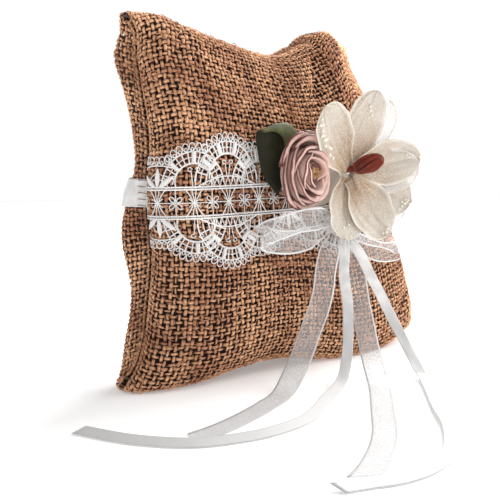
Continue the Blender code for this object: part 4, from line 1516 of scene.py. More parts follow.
@dataclass
class Leaf:
    """The folded ribbon leaf beside the rose: a dark blade, and an olive flap turned down over its top."""

    finishes: Finishes
    thick: float = 0.0005
    crown: float = 0.0022
    left: tuple[Place, ...] = (
        (-0.029, 0.14), (-0.034, 0.1388), (-0.0349, 0.1341), (-0.0337, 0.1258), (-0.031, 0.1175),
        (-0.0274, 0.1119), (-0.0212, 0.1052),
    )
    right: tuple[Place, ...] = (
        (-0.012, 0.1405), (-0.0088, 0.1375), (-0.008, 0.133), (-0.0092, 0.1258), (-0.012, 0.118),
        (-0.016, 0.111), (-0.0206, 0.1048),
    )
    flap_top: tuple[Place, ...] = (
        (-0.0344, 0.1393), (-0.0285, 0.1418), (-0.0225, 0.1432), (-0.015, 0.1431), (-0.0087, 0.1392),
    )
    flap_low: tuple[Place, ...] = (
        (-0.0338, 0.1384), (-0.0262, 0.1387), (-0.0205, 0.1352), (-0.016, 0.1258), (-0.0122, 0.1345),
    )

    def build(self) -> None:
        """Builds the blade and the flap."""
        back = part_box("leaf")[1].y - self.thick / 2
        blade = self._between(self.left, self.right, 33, 15)
        across = np.linspace(-1, 1, 15)[None, :]
        along = np.linspace(0, 1, 33)[:, None]
        y = back - self.crown * (1 - across**2) * (1 - 0.5 * along) - 0.0004 * np.sin(along * 9 + across * 2)
        y = y - 0.0012 * along**2
        points = np.stack([blade[..., 0], y, blade[..., 1]], axis=-1)
        bundle = Bundle()
        slab(bundle, points, self.thick, sheet_lay(33, 15, 0.037))
        dark = bundle.piece("leaf_blade", self.finishes.leaf.material(), "leaf_satin")
        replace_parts(dark, "leaf")
        flap = self._between(self.flap_top, self.flap_low, 25, 9, turned=True)
        down = np.linspace(0, 1, 9)[None, :]
        share = np.linspace(0, 1, 25)[:, None]
        y = back - self.crown - 0.0008 - 0.0022 * np.sin(math.pi * np.clip(down * 0.62 + 0.12, 0, 1))
        y = y - 0.0006 * np.sin(share * 5.0) + 0 * share
        points = np.stack([flap[..., 0], y, flap[..., 1]], axis=-1)
        bundle = Bundle()
        slab(bundle, points[:, ::-1], self.thick, sheet_lay(25, 9, 0.027))
        pale = bundle.piece("leaf_flap", self.finishes.leaf_fold.material(), "leaf_satin")

    @staticmethod
    def _between(
        first: Sequence[Place], second: Sequence[Place], rows: int, columns: int, turned: bool = False
    ) -> Array:
        """A grid of places between two smooth edges.

        Args:
            first: the points of one edge.
            second: the points of the other.
            rows: how many rows run between the edges.
            columns: how many points in a row.
            turned: whether the rows are eased towards the second edge.

        Returns:
            The x and z of each place.
        """
        edges = []
        for edge in (first, second):
            route = smooth_route(np.array(edge), 8)
            length = lengths_along(route)
            even = np.linspace(0, length[-1], rows)
            edges.append(np.stack([np.interp(even, length, route[:, k]) for k in range(2)], axis=-1))
        share = np.linspace(0, 1, columns)[None, :, None]
        if turned:
            share = share**1.15
        return edges[0][:, None] * (1 - share) + edges[1][:, None] * share


@dataclass(frozen=True)
class RoseRing:
    """One ring of the rose's petals."""

    petals: int
    reach: float
    tall: float
    roll: float
    turn: float
    sweep: float = 2.55


@dataclass
class Rose:
    """The rolled satin rose: rings of petals with rolled lips and sealed dark edges, about frayed stamens."""

    finishes: Finishes
    centre: Place = (-0.0108, 0.1180)
    radii: Place = (0.0152, 0.0203)
    stand_off: float = 0.0045
    thick: float = 0.00055
    lean: Place = (0.26, -0.06)
    rings: tuple[RoseRing, ...] = (
        RoseRing(4, 1.00, 0.0080, 0.0016, 0.35, 2.3),
        RoseRing(3, 0.86, 0.0108, 0.0015, 1.15),
        RoseRing(3, 0.70, 0.0132, 0.0013, 2.05),
        RoseRing(3, 0.53, 0.0148, 0.0011, 2.75),
        RoseRing(2, 0.36, 0.0146, 0.0008, 0.55, 3.1),
    )
    stamens: int = 34
    packed_petals: int = 9

    def build(self) -> None:
        """Builds each petal, the bud and the stamens."""
        self.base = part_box("felt_pad")[0].y - self.stand_off
        satin = self.finishes.rose.material()
        rng = np.random.default_rng(5)
        places = [(ring, k) for ring in self.rings for k in range(ring.petals)]
        for number, (ring, k) in enumerate(places, start=1):
            start = ring.turn + math.tau * k / ring.petals + rng.uniform(-0.15, 0.15)
            petal = self._petal(f"rose_leaf_{number}", ring, start, satin, rng)
            if number <= self.packed_petals:
                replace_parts(petal, f"rose_petal_{number}")
        self._bud(satin)
        self._stamens(rng)

    def _place(self, x: Array, rise: Array, z: Array) -> Array:
        """Points of the rose from places about its leaning middle, at heights above its base."""
        across = self.centre[0] + x + self.lean[0] * rise
        return np.stack([across, self.base - rise, self.centre[1] + z + self.lean[1] * rise], axis=-1)

    def _petal(
        self, name: str, ring: RoseRing, start: float, satin: Material, rng: np.random.Generator
    ) -> Piece:
        """One petal: a curved wall whose lip rolls outward.

        Args:
            name: its name.
            ring: the ring that it belongs to.
            start: the angle of its middle.
            satin: its finish.
            rng: the seeded source of random numbers.

        Returns:
            The petal.
        """
        rows, columns = 22, 27
        h = np.linspace(0, 1, rows)[:, None]
        a = np.linspace(-1, 1, columns)[None, :]
        phase, size = rng.uniform(0, math.tau), rng.uniform(0.95, 1.05)
        angle = start + a * ring.sweep / 2 + 0 * h
        wall = np.clip(h / 0.68, 0, 1)
        roll = np.clip((h - 0.68) / 0.32, 0, 1) * 2.5
        shoulder = 1 - 0.26 * abs(a) ** 2.4
        wavy = 1 + 0.035 * np.sin(a * 4.5 + phase) + 0.02 * np.sin(a * 9 + 2 * phase)
        lip = ring.roll * (1 - 0.45 * a**2) * (1 + 0.25 * np.sin(a * 3 + phase))
        high = ring.tall * size * shoulder * wavy
        rise = (high - lip) * wall + lip * np.sin(roll)
        body = 0.66 + 0.27 * np.sin(wall * math.pi * 0.55)
        factor = ring.reach * body + 0.055 * a + 0.015 * np.sin(a * 5 + phase) * wall
        out = lip * (1 - np.cos(roll))
        x = (self.radii[0] * factor + out) * np.cos(angle)
        z = (self.radii[1] * factor + out) * np.sin(angle)
        points = self._place(x, rise, z)
        lay = sheet_lay(rows, columns, 0.020, np.maximum(h + 0 * a, 0.03 + abs(a) * 0.97))
        bundle = Bundle()
        # the deep value rises toward the petal's base, where the finish paints shade
        slab(bundle, points, self.thick, lay, (1 - wall) ** 1.3 + 0 * a)
        piece = bundle.piece(name, satin, "rose_satin")
        return piece

    def _bud(self, satin: Material) -> None:
        """The rolled strip at the heart of the rose, with the stamens inside it."""
        rows, columns = 12, 73
        h = np.linspace(0, 1, rows)[:, None]
        a = np.linspace(0, 1, columns)[None, :]
        angle = 0.9 + a * math.tau * 1.35 + 0 * h
        radius = (0.0026 + 0.0016 * a) * (0.9 + 0.22 * h**2)
        rise = h * (0.0128 + 0.0006 * np.sin(angle * 3))
        points = self._place(radius * np.cos(angle), rise, 1.2 * radius * np.sin(angle))
        lay = sheet_lay(rows, columns, 0.013, h + 0 * a)
        bundle = Bundle()
        # the deep value rises toward the bud's base, where the finish paints shade
        slab(bundle, points, self.thick * 0.8, lay, (1 - h) + 0 * a)
        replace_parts(bundle.piece("rose_heart", satin, "rose_satin"), "rose_bud")

    def _stamens(self, rng: np.random.Generator) -> None:
        """The frayed golden stamens, each a fine bent thread with a swollen tip."""
        bundle = Bundle()
        for _ in range(self.stamens):
            angle, reach = rng.uniform(0, math.tau), 0.0027 * math.sqrt(rng.uniform(0.0, 1.0))
            share = np.linspace(0, 1, 11)
            spread = reach * (0.55 + 0.8 * share**2)
            bend = angle + 0.9 * share * rng.uniform(-1, 1)
            top = rng.uniform(0.0118, 0.0150)
            points = self._place(spread * np.cos(bend), 0.003 + (top - 0.003) * share, spread * np.sin(bend))
            normals = np.broadcast_to(np.array([math.cos(angle), 0, math.sin(angle)]), points.shape)
            radius = 0.00020 + 0.00030 * bump(share, 0.93, 0.07)
            bundle.strand(points, normals, radius, radius, 5, rng.uniform(0, 9))
        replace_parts(bundle.piece("stamens", self.finishes.stamen.material(), "stamen"), "rose_stamens")


@dataclass(frozen=True)
class PetalCut:
    """The size and the place of one petal of the organza flower."""

    name: str
    length: float
    width: float
    turn: float
    layer: float
    curl: float = 0.0
    veil: float = 0.0
    beads: tuple[tuple[float, float, float], ...] = ()


@dataclass
class OrganzaFlower:
    """The cream organza flower: six cupped petals with wired rims, pearl dots, and a thread-wound pistil."""

    finishes: Finishes
    centre: Place = (0.0275, 0.1160)
    stand_off: float = 0.0080
    start: float = 0.0030
    layer: float = 0.0020
    rise: float = 0.0120
    reach: float = 0.046
    thick: float = 0.0004
    wire: float = 0.00030
    pearl: float = 1.2
    petals: tuple[PetalCut, ...] = (
        PetalCut(
            "upper_left", 0.0480, 0.0300, 133.0, 1.0, 0.0030, 0.0,
            ((0.30, 0.72, 0.00095), (0.37, 0.62, 0.00090), (0.42, 0.74, 0.00085), (0.49, 0.64, 0.00095),
             (0.55, 0.74, 0.00085), (0.61, 0.68, 0.00075), (0.33, 0.48, 0.00075), (0.66, 0.58, 0.0007),
             (0.7, 0.72, 0.0007), (0.46, 0.5, 0.00065), (0.24, 0.6, 0.0008), (0.76, 0.6, 0.0006)),
        ),
        PetalCut("upper_right", 0.0475, 0.0290, 74.0, 0.0, 0.0015, -13.0,
                 ((0.55, 0.0, 0.0007), (0.60, 0.12, 0.0006), (0.52, -0.15, 0.0006))),
        PetalCut("right", 0.0480, 0.0260, 13.0, 1.0, 0.0022, -11.0,
                 ((0.62, 0.30, 0.0006), (0.68, 0.15, 0.0006), (0.74, 0.28, 0.0005))),
        PetalCut("lower_right", 0.0465, 0.0300, -24.0, 0.0, 0.0010, -12.0,
                 ((0.74, -0.40, 0.0007), (0.79, -0.18, 0.0007), (0.82, 0.05, 0.0007), (0.70, -0.58, 0.0006),
                  (0.83, 0.28, 0.0006), (0.72, -0.1, 0.0006), (0.76, 0.16, 0.0006))),
        PetalCut("lower_middle", 0.0430, 0.0310, -61.0, 1.3, 0.0020, 0.0,
                 ((0.74, 0.20, 0.0007), (0.80, 0.02, 0.0007), (0.77, -0.22, 0.0006))),
        PetalCut("lower_left", 0.0385, 0.0300, -103.0, 0.4, 0.0020, 0.0,
                 ((0.55, 0.2, 0.0006), (0.62, -0.1, 0.0006))),
    )

    def build(self) -> None:
        """Builds the petals, their veils, their wires, the beads, the folds and the pistil."""
        self.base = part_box("felt_pad")[0].y - self.stand_off
        cloth, veil = self.finishes.petal.material(), self.finishes.veil.material()
        wires, beads = Bundle(), Bundle()
        for number, cut in enumerate(self.petals):
            points = self._grid(cut, cut.turn, 0.0, number)
            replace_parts(self._sheet(f"petal_{cut.name}", points, cloth, cut), f"organza_petal_{cut.name}")
            self._rim(wires, points)
            for share, across, radius in cut.beads:
                self._bead(beads, points, share, across, radius)
            if cut.veil:
                points = self._grid(cut, cut.turn + cut.veil, 0.0014, number + 7)
                self._sheet(f"veil_{cut.name}", points, veil, cut)
                self._rim(wires, points)
        wires.piece("petal_wires", self.finishes.wire.material(), "petal_organza")
        beads.piece("petal_beads", self.finishes.bead.material(), "petal_organza")
        self._folds(cloth)
        self._pistil()

    def _grid(self, cut: PetalCut, turn: float, behind: float, seed: int) -> Array:
        """The middle surface of one petal.

        Args:
            cut: its size.
            turn: its direction in degrees, anticlockwise from the right.
            behind: how much further back it sits.
            seed: the number that its wrinkles come from.

        Returns:
            The grid of points, from the foot to the tip and across.
        """
        rows, columns = 45, 33
        s = np.sin(np.linspace(0, 1, rows) * math.pi / 2)[:, None]
        a = np.linspace(-1, 1, columns)[None, :]
        rng = np.random.default_rng(40 + seed)
        tip = np.where(s > 0.55, np.sqrt(np.clip(1 - ((s - 0.55) / 0.45) ** 2, 0, 1)), 1.0)
        half = cut.width / 2 * (0.42 + 0.58 * smoothstep(s / 0.48)) * np.maximum(tip, 0.05)
        half = half * (1 + 0.03 * np.sin(s * 9 + seed))
        reach = self.start + (cut.length - self.start) * s
        angle = math.radians(turn) + 0.05 * math.sin(seed * 2.1) * s
        along = reach + 0 * a
        side = a * half
        x = self.centre[0] + along * np.cos(angle) - side * np.sin(angle)
        z = self.centre[1] + along * np.sin(angle) + side * np.cos(angle)
        lift = self.rise * (reach / self.reach) ** 1.5
        cup = cut.curl * a**2 * np.sin(math.pi * np.clip(s, 0, 1)) ** 0.8
        creases = np.zeros_like(x)
        for _ in range(9):
            where, lean, deep = rng.uniform(-0.85, 0.85), rng.uniform(-0.6, 0.6), rng.uniform(-0.0008, 0.0008)
            creases += deep * bump(a + lean * (s - 0.5), where, 0.09) * (1 - 0.35 * s)
        creases += 0.0007 * (bump(a, 0.0, 0.10) - 0.5 * bump(a, 0.25, 0.12)) * (1 - s) ** 0.5
        ripple = 0.0007 * np.sin(a * 3.0 + s * 6.0 + seed) * s + 0.0005 * np.sin(s * 21 + a * 2 + seed) * a**4
        y = self.base + self.layer * 0.5 - self.layer * cut.layer + behind - lift - cup + creases + ripple
        return np.stack([x, y + 0 * a, z], axis=-1)

    def _sheet(self, name: str, points: Array, cloth: Material, cut: PetalCut) -> Piece:
        """One petal's cloth from its grid.

        Args:
            name: its name.
            points: its grid.
            cloth: its finish.
            cut: its size.

        Returns:
            The petal.
        """
        rows, columns = points.shape[:2]
        outward = np.linspace(0, 1, rows)[:, None]
        lay = sheet_lay(rows, columns, cut.length, outward)
        bundle = Bundle()
        slab(bundle, points, self.thick, lay)
        piece = bundle.piece(name, cloth, "petal_organza")
        return piece

    def _rim(self, wires: Bundle, points: Array) -> None:
        """Sews the fine wire round a petal's edge.

        Args:
            wires: what it is added to.
            points: the petal's grid.
        """
        normals = grid_normals(points)
        for column in (0, -1):
            wires.strand(points[2:, column], normals[2:, column], self.wire, self.wire, 6)
        wires.strand(points[-1], normals[-1], self.wire, self.wire, 6)

    def _bead(self, beads: Bundle, points: Array, share: float, across: float, radius: float) -> None:
        """Sets one pearl dot on a petal.

        Args:
            beads: what it is added to.
            points: the petal's grid.
            share: how far out it is, from 0 to 1.
            across: how far across it is, from -1 to 1.
            radius: its radius, before the flower's own measure of its pearls.
        """
        rows, columns = points.shape[:2]
        row, column = int(share * (rows - 1)), int((across + 1) / 2 * (columns - 1))
        normal = grid_normals(points)[row, column]
        normal = normal if normal[1] < 0 else -normal
        radius = self.pearl * radius
        middle = points[row, column] + normal * radius * 0.8
        down = np.linspace(0.02, 0.98, 9) * math.pi
        line = middle + normal * (radius * np.cos(down))[:, None]
        aside = np.broadcast_to(np.cross(normal, (1.0, 0.2, 0.1)), line.shape)
        beads.strand(line, aside, radius * np.sin(down), radius * np.sin(down), 10)

    def _folds(self, cloth: Material) -> None:
        """The gathered strips of petal cloth that come out from under the pistil."""
        bundle = Bundle()
        for turn, length, width in ((-38.0, 0.017, 0.0036), (-50.0, 0.020, 0.0030), (-70.0, 0.013, 0.0034)):
            angle = math.radians(turn)
            share = np.linspace(0, 1, 21)[:, None]
            a = np.linspace(-1, 1, 7)[None, :]
            half = width / 2 * np.sin(math.pi * (0.10 + 0.84 * share)) ** 0.7
            reach = 0.001 + length * share + 0 * a
            x = self.centre[0] + reach * np.cos(angle + 0.10 * share) - a * half * np.sin(angle)
            z = self.centre[1] + reach * np.sin(angle + 0.10 * share) + a * half * np.cos(angle)
            bulge = 0.0016 * np.sin(math.pi * share) * (1 - 0.8 * a**2)
            y = self.base - 2.4 * self.layer - 0.008 * (share * length / 0.03) ** 1.5 - bulge
            slab(bundle, np.stack([x, y, z], axis=-1), self.thick, sheet_lay(21, 7, length, 0.1))
        bundle.piece("flower_folds", cloth, "petal_organza")

    def _pistil(self) -> None:
        """The pistil: threads wound lengthwise over an oval core, on a wound stem."""
        low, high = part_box("flower_pistil")
        middle = (np.array(low) + np.array(high)) / 2 + np.array([0.0014, 0.0, 0.0022])
        axis = unit(np.array([0.25, -1.0, 0.35]))
        across = unit(np.cross(axis, (0.0, 0.0, 1.0)))
        up = np.cross(across, axis)
        half, radius = 0.0092, 0.0047
        bundle = Bundle()
        share = np.linspace(-0.995, 0.995, 41)
        core = middle + axis * (share * half)[:, None]
        girth = radius * np.sqrt(1 - share**2) ** 0.85
        # the core is given deep 1, so it wears the thread finish's painted shade colour between the wound
        # threads
        bundle.strand(core, np.broadcast_to(up, core.shape), girth * 0.93, girth * 0.93, 20, 0.0, 1.0)
        for k in range(17):
            turn = math.tau * k / 17 + 0.5 * share + 0.07 * math.sin(k * 5.0)
            out = across * np.cos(turn)[:, None] + up * np.sin(turn)[:, None]
            lift = 1 + 0.05 * math.sin(k * 3.3)
            line = core + out * (girth * lift)[:, None]
            bundle.strand(line, out, 0.00068 * (0.35 + 0.65 * girth / radius), 0.00050, 6, k * 3.7)
        foot = middle - axis * half * 0.93
        start = np.array([self.centre[0] + 0.0018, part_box("felt_pad")[0].y - 0.0003, self.centre[1] + 0.0014])
        share = np.linspace(0, 1, 241)
        line = start + (foot - start) * share[:, None]
        narrow = 0.0014 + 0.0002 * share
        spin = share * math.tau * 15
        ring = np.stack([narrow * np.cos(spin), 0 * spin, narrow * np.sin(spin)], axis=-1)
        bundle.strand(line + ring, ring + 1e-9, 0.00042, 0.00040, 6, 4.0)
        # the stem's core is given deep 1, so it wears painted shade under the spiral thread
        bundle.strand(line[::8], np.broadcast_to(up, line[::8].shape), narrow[::8], narrow[::8], 12, 0.0, 1.0)
        piece = bundle.piece("pistil", self.finishes.wound.material(), "wound_thread")
        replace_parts(piece, "flower_pistil", "flower_stem")


@dataclass
class RibbonRun:
    """One length of ribbon along a route of places and width directions, from the middle of the bow.

    Each route point has x and y measured from the bow's place on the cushion, z from the floor, and the
    direction of the ribbon's width as x, y and z.
    """

    name: str
    route: tuple[Row, ...]
    width: float
    thick: float
    gathered: float = 0.55
    gather_length: float = 0.012
    both_ends: bool = False
    ripple: float = 0.0003
    cut: float = 0.0
    steps: int = 7
    columns: int = 11

    def grid(self, bow: Place) -> tuple[Array, Array, float]:
        """The ribbon's middle surface.

        Args:
            bow: the x and y of the bow's place on the cushion.

        Returns:
            The grid, its middle line, and its length.
        """
        rows = smooth_route(np.array(self.route), self.steps)
        line = rows[:, :3] + np.array([bow[0], bow[1], 0.0])
        tangents = unit(np.gradient(line, axis=0))
        sides = unit(rows[:, 3:] - tangents * (rows[:, 3:] * tangents).sum(axis=1)[:, None])
        normals = np.cross(tangents, sides)
        along = lengths_along(line)
        near = np.minimum(along, along[-1] - along) if self.both_ends else along
        half = self.width / 2 * (self.gathered + (1 - self.gathered) * smoothstep(near / self.gather_length))
        across = np.linspace(-1, 1, self.columns)
        folds = np.cos(across[None, :] * 7.0) * 0.0006 * (1 - smoothstep(near / self.gather_length))[:, None]
        wave = self.ripple * np.sin(along * 300.0)[:, None] * across[None, :] ** 2
        off_floor = smoothstep(line[:, 2] / 0.012)[:, None]
        points = line[:, None] + sides[:, None] * (half[:, None] * across[None, :])[..., None]
        points = points + normals[:, None] * ((folds + wave) * off_floor)[..., None]
        tangent = tangents[-1] * self.cut
        fade = smoothstep((along - along[-1] + 0.012) / 0.012)
        points = points + tangent * (fade[:, None] * across[None, :])[..., None]
        return points, line, float(along[-1])

    def build(self, bow: Place, finish: Material, slot: str) -> tuple[Piece, Array, float]:
        """Builds the ribbon.

        Args:
            bow: the x and y of the bow's place on the cushion.
            finish: its material.
            slot: the record's material slot.

        Returns:
            The ribbon, its middle line, and its length.
        """
        points, line, length = self.grid(bow)
        bundle = Bundle()
        slab(bundle, points, self.thick, sheet_lay(*points.shape[:2], length))
        return bundle.piece(self.name, finish, slot), line, length


FACE = (0.78, -0.63, 0.0)  # the width direction of a tail that faces forward and left


@dataclass
class Tails:
    """The four tails of the bow: two sheer and two satin, down the front of the cushion and over the floor."""

    shape: CushionShape
    finishes: Finishes
    bow: Place = (0.0185, 0.088)
    runs: tuple[RibbonRun, ...] = (
        RibbonRun("organza_tail_left", (
            (-0.003, -0.012, 0.0805, *FACE), (-0.0085, -0.014, 0.0725, *FACE),
            (-0.0115, -0.014, 0.0615, *FACE), (-0.0135, -0.0145, 0.0505, *FACE),
            (-0.0165, -0.014, 0.04, *FACE), (-0.0232, -0.0149, 0.0295, *FACE),
            (-0.0338, -0.0192, 0.018, *FACE), (-0.0462, -0.0235, 0.007, 0.7, -0.71, 0.1),
            (-0.0555, -0.0265, 0.0014, 0.5, -0.86, 0.05),
            (-0.0665, -0.0305, 0.0006, 0.36, -0.93, 0.0), (-0.0795, -0.0355, 0.0006, 0.3, -0.95, 0.0),
            (-0.0925, -0.0395, 0.0006, 0.22, -0.97, 0.0), (-0.1045, -0.0425, 0.0006, 0.15, -0.99, 0.0),
            (-0.1145, -0.044, 0.0006, 0.1, -0.99, 0.0), (-0.126, -0.045, 0.0006, 0.1, -0.99, 0.0),
        ), 0.012, 0.0003, cut=0.003),
        RibbonRun("organza_tail_right", (
            (0.01, -0.0105, 0.072, *FACE), (0.0135, -0.012, 0.0625, *FACE),
            (0.0145, -0.014, 0.0515, *FACE), (0.015, -0.016, 0.0405, *FACE),
            (0.0145, -0.0197, 0.0305, *FACE), (0.01, -0.0274, 0.02, *FACE),
            (0.004, -0.0372, 0.0095, *FACE), (-0.0009, -0.0454, 0.0022, 0.74, -0.67, 0.0),
            (-0.0075, -0.053, 0.0006, 0.72, -0.7, 0.0), (-0.0185, -0.0635, 0.0006, 0.7, -0.72, 0.0),
            (-0.0355, -0.0795, 0.0006, 0.7, -0.71, 0.0), (-0.0515, -0.0945, 0.0006, 0.66, -0.75, 0.0),
            (-0.0675, -0.1065, 0.0006, 0.58, -0.81, 0.0), (-0.0845, -0.1165, 0.0006, 0.5, -0.86, 0.0),
            (-0.0945, -0.121, 0.0006, 0.45, -0.89, 0.0),
        ), 0.012, 0.0003, cut=-0.004),
        RibbonRun("satin_tail_left", (
            (0.0015, -0.0155, 0.08, *FACE), (0.0000, -0.0175, 0.07, *FACE),
            (-0.0015, -0.0185, 0.0605, *FACE), (-0.0005, -0.019, 0.0515, *FACE),
            (0.0015, -0.019, 0.0425, *FACE), (0.0006, -0.0206, 0.031, *FACE),
            (-0.0051, -0.026, 0.0185, *FACE), (-0.0145, -0.0328, 0.0075, 0.66, -0.74, -0.1),
            (-0.0244, -0.0378, 0.0026, 0.5, -0.82, -0.27),
            (-0.0434, -0.0474, 0.0018, 0.45, -0.82, -0.36),
            (-0.0584, -0.0564, 0.0018, 0.4, -0.84, -0.37),
            (-0.0724, -0.0619, 0.0018, 0.24, -0.9, -0.37),
            (-0.0884, -0.0634, 0.0018, 0.05, -0.93, -0.37),
            (-0.1029, -0.0619, 0.0018, -0.16, -0.91, -0.37),
            (-0.1214, -0.0559, 0.0018, -0.38, -0.85, -0.37),
            (-0.1344, -0.0474, 0.0018, -0.56, -0.74, -0.37),
            (-0.1494, -0.0294, 0.0018, -0.75, -0.55, -0.37),
            (-0.1614, -0.0059, 0.0018, -0.83, -0.42, -0.37),
        ), 0.006, 0.0004, 0.9, cut=0.002),
        RibbonRun("satin_tail_right", (
            (0.0055, -0.016, 0.078, *FACE), (0.012, -0.0185, 0.069, *FACE),
            (0.019, -0.0205, 0.056, *FACE), (0.0255, -0.022, 0.0455, *FACE),
            (0.03, -0.0245, 0.0355, *FACE), (0.0321, -0.0314, 0.0235, *FACE),
            (0.0307, -0.0407, 0.0135, *FACE), (0.028, -0.0498, 0.0055, *FACE),
            (0.0246, -0.0569, 0.0018, 0.75, -0.64, -0.15),
            (0.008, -0.0744, 0.0016, 0.72, -0.66, -0.2),
            (-0.0095, -0.0924, 0.0016, 0.7, -0.68, -0.2),
            (-0.0244, -0.1089, 0.0018, 0.7, -0.65, -0.3),
            (-0.0394, -0.1214, 0.002, 0.62, -0.7, -0.35),
            (-0.0534, -0.1304, 0.002, 0.45, -0.81, -0.37),
            (-0.0704, -0.1344, 0.0018, 0.05, -0.93, -0.37),
            (-0.0864, -0.1329, 0.0018, -0.12, -0.92, -0.37),
            (-0.0984, -0.1284, 0.0018, -0.2, -0.91, -0.37),
            (-0.1124, -0.1234, 0.0018, -0.28, -0.89, -0.37),
        ), 0.006, 0.0004, 0.9, cut=-0.002),
    )

    def build(self) -> None:
        """Builds the tails, each one a ribbon that runs from the knot."""
        organza, satin = self.finishes.organza.material(), self.finishes.satin.material()
        place = (self.bow[0], self.shape.front_at(*self.bow))
        for run in self.runs:
            sheer = run.name.startswith("organza")
            finish, slot = (organza, "organza") if sheer else (satin, "satin")
            piece, line, length = run.build(place, finish, slot)
            piece.name = run.name.replace("tail", "streamer")
            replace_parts(piece, run.name)


@dataclass
class Bow:
    """The sheer bow: two flattened loops and a folded knot."""

    shape: CushionShape
    finishes: Finishes
    centre: Place = (0.0185, 0.088)
    loops: tuple[RibbonRun, ...] = (
        RibbonRun("bow_loop_left", (
            (-0.005, -0.0118, 0.0895, 0.05, -0.1, 1.0), (-0.019, -0.0145, 0.0912, 0.1, -0.15, 1.0),
            (-0.033, -0.0152, 0.0905, 0.1, -0.2, 1.0), (-0.046, -0.0145, 0.088, 0.1, -0.2, 1.0),
            (-0.0535, -0.0122, 0.0855, 0.05, -0.15, 1.0), (-0.0545, -0.0108, 0.0835, 0.00, -0.1, 1.0),
            (-0.0465, -0.008, 0.0805, -0.05, -0.05, 1.0), (-0.0315, -0.0072, 0.0785, 0.00, 0.00, 1.0),
            (-0.018, -0.0068, 0.08, 0.1, 0.00, 1.0), (-0.0065, -0.0066, 0.0835, 0.15, 0.00, 1.0),
        ), 0.0135, 0.0003, 0.6, 0.014, True, 0.0004),
        RibbonRun("bow_loop_right", (
            (0.0055, -0.0115, 0.0855, 0.2, -0.1, 1.0), (0.0175, -0.0125, 0.0815, 0.25, -0.15, 1.0),
            (0.0295, -0.0125, 0.078, 0.2, -0.2, 1.0), (0.0415, -0.0123, 0.0755, 0.2, -0.2, 1.0),
            (0.052, -0.011, 0.072, 0.25, -0.15, 1.0), (0.0565, -0.01, 0.0685, 0.25, -0.05, 1.0),
            (0.053, -0.0072, 0.066, 0.25, 0.00, 1.0), (0.0435, -0.006, 0.0665, 0.25, 0.00, 1.0),
            (0.033, -0.0055, 0.07, 0.25, 0.00, 1.0), (0.021, -0.0055, 0.0745, 0.25, 0.00, 1.0),
            (0.0065, -0.0062, 0.08, 0.25, 0.00, 1.0),
        ), 0.0125, 0.0003, 0.6, 0.014, True, 0.0004),
    )

    def build(self) -> None:
        """Builds both loops and the knot."""
        place = (self.centre[0], self.shape.front_at(*self.centre))
        organza = self.finishes.organza.material()
        for run in self.loops:
            piece, _, length = run.build(place, organza, "organza")
            piece.name = run.name.replace("bow_loop", "sheer_loop")
            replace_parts(piece, run.name)
        self._knot()

    def _knot(self) -> None:
        """The knot: a short band drawn tight round the ribbons, with pleats down its face."""
        low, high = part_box("bow_knot")
        middle = (np.array(low) + np.array(high)) / 2
        size = (np.array(high) - np.array(low)) / 2
        rows, sides = 25, 40
        share = np.linspace(-1, 1, rows)[:, None]
        turn = np.linspace(0, math.tau, sides, endpoint=False)[None, :]
        end = np.sqrt(np.clip(1 - abs(share) ** 5, 0, 1)) * 0.97 + 0.02
        pleat = 1 - 0.05 * (1 + np.cos(turn * 9 + 0.8 * share)) - 0.05 * bump(share, 0.0, 0.35)
        power = 0.62
        x = middle[0] + size[0] * end * pleat * np.sign(np.cos(turn)) * abs(np.cos(turn)) ** power
        y = middle[1] + size[1] * end * pleat * np.sign(np.sin(turn)) * abs(np.sin(turn)) ** power
        z = middle[2] + size[2] * share + 0 * turn
        points = np.stack([x, y, z + 0.0003 * np.sin(turn * 5)], axis=-1)
        lay = np.zeros((rows, sides, 3))
        lay[..., 0] = size[2] * share
        bundle = Bundle()
        bundle.add(points, np.concatenate([grid_quads(rows, sides, closed=True), end_caps(rows, sides)]), lay)
        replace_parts(bundle.piece("knot", self.finishes.satin.material(), "satin"), "bow_knot")


def dress_hard_pieces(finishes: Finishes) -> None:
    """Gives the felt pad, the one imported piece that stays, its own finish."""
    made = finishes.felt.material()
    for slot in bpy.data.objects["felt_pad"].material_slots:
        slot.material = made


# ---- studio ----


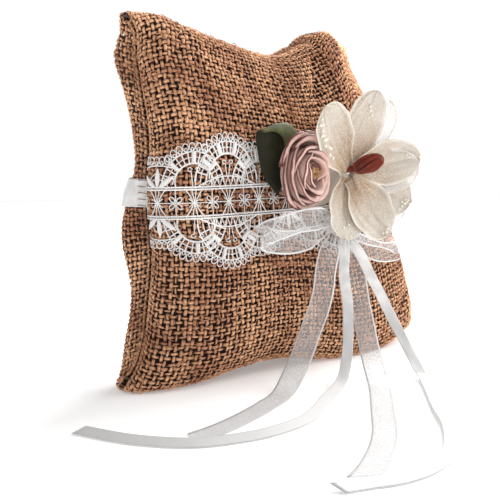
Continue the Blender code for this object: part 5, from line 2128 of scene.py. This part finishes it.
@dataclass
class Studio:
    """The camera, the soft lights and the pale floor."""

    eye: Colour = (-0.2935, -0.3504, 0.1312)
    heading: float = math.radians(39.07)
    dip: float = math.radians(7.78)
    lens: float = 54.8
    sky: float = 1.02
    sky_fade: tuple[float, float, float, float] = (0.26, 0.45, 1.0, 0.40)
    paper: FloorFinish = FloorFinish()

    def place_camera(self) -> None:
        """Puts the camera level with the cushion's upper half, a little to its left."""
        made = bpy.data.objects.new("camera", bpy.data.cameras.new("camera"))
        made.data.lens = self.lens
        made.data.sensor_width = 36.0
        made.data.clip_start = 0.01
        made.location = self.eye
        made.rotation_euler = (math.pi / 2 - self.dip, 0.0, -self.heading)
        bpy.context.scene.collection.objects.link(made)
        bpy.context.scene.camera = made

    def light(self) -> None:
        """Adds three soft lamps, a narrow beam on the upper right corner, a sky and plain colours."""
        self._lamp("window", (1.00, -0.50, 0.90), (0.0, 0.0, 0.10), 0.80, 15.0)
        self._lamp("rim", (0.80, 0.22, 1.00), (0.03, 0.0, 0.16), 0.60, 18.0)
        self._lamp("fill", (-0.95, -0.75, 0.55), (0.0, 0.0, 0.08), 0.90, 1.5)
        self._lamp("corner", (0.30, -0.30, 0.62), (0.086, 0.0, 0.190), 0.06, 24.0, math.radians(10.5))
        world = bpy.data.worlds.new("sky")
        world.use_nodes = True
        tree = world.node_tree
        sky = tree.nodes["Background"]
        sky.inputs["Strength"].default_value = self.sky
        parts, ramp = tree.nodes.new("ShaderNodeSeparateXYZ"), tree.nodes.new("ShaderNodeMapRange")
        tree.links.new(tree.nodes.new("ShaderNodeTexCoord").outputs["Generated"], parts.inputs[0])
        tree.links.new(parts.outputs[2], ramp.inputs["Value"])
        for name, value in zip(("From Min", "From Max", "To Min", "To Max"), self.sky_fade, strict=True):
            ramp.inputs[name].default_value = value
        tree.links.new(ramp.outputs[0], sky.inputs["Color"])
        bpy.context.scene.world = world
        bpy.context.scene.view_settings.view_transform = "Standard"

    def _lamp(
        self, name: str, place: Colour, aim: Colour, size: float, power: float, beam: float = 0.0
    ) -> None:
        """Adds one lamp, square, or round with a narrow soft beam.

        Args:
            name: its name.
            place: where it is.
            aim: what it points at.
            size: the length of its side, or its width.
            power: its power in watts.
            beam: how wide its beam opens, or 0 for a square lamp.
        """
        lamp = bpy.data.lights.new(name, "SPOT" if beam else "AREA")
        if beam:
            lamp.spot_size, lamp.spot_blend, lamp.shadow_soft_size = beam, 1.0, size / 2
        else:
            lamp.size = size
        lamp.energy = power
        made = bpy.data.objects.new(name, lamp)
        made.location = place
        made.rotation_euler = (Vector(aim) - Vector(place)).to_track_quat("-Z", "Y").to_euler()
        bpy.context.scene.collection.objects.link(made)

    def lay_floor(self) -> None:
        """Adds the pale floor, a wide round sheet of paper."""
        turn = np.linspace(0, math.tau, 97)[:-1]
        rings = []
        for radius in (0.02, 0.4, 0.9, 1.5):
            rings.append(np.stack([radius * np.cos(turn), radius * np.sin(turn), 0 * turn], axis=-1))
        points = np.stack(rings).reshape(-1, 3)
        faces = grid_quads(len(rings), 96, closed=True).tolist()
        faces.append(list(range(96)))
        mesh = bpy.data.meshes.new("floor")
        mesh.from_pydata(points.tolist(), [], faces)
        mesh.materials.append(self.paper.material())
        made = bpy.data.objects.new("floor", mesh)
        bpy.context.scene.collection.objects.link(made)


def main() -> None:
    """Builds every piece in order."""
    logging.basicConfig(level=logging.INFO, format="%(name)s: %(message)s")
    finishes = Finishes()
    studio = Studio()
    studio.place_camera()
    shape = CushionShape()
    Tails(shape, finishes).build()
    cushion = Cushion(shape, finishes)
    cushion.build()
    Lace(cushion.maps[Side.FRONT], finishes).build()
    HandStrap(shape, finishes).build()
    Leaf(finishes).build()
    Rose(finishes).build()
    OrganzaFlower(finishes).build()
    Bow(shape, finishes).build()
    dress_hard_pieces(finishes)
    studio.light()
    studio.lay_floor()


if __name__ == "__main__":
    main()
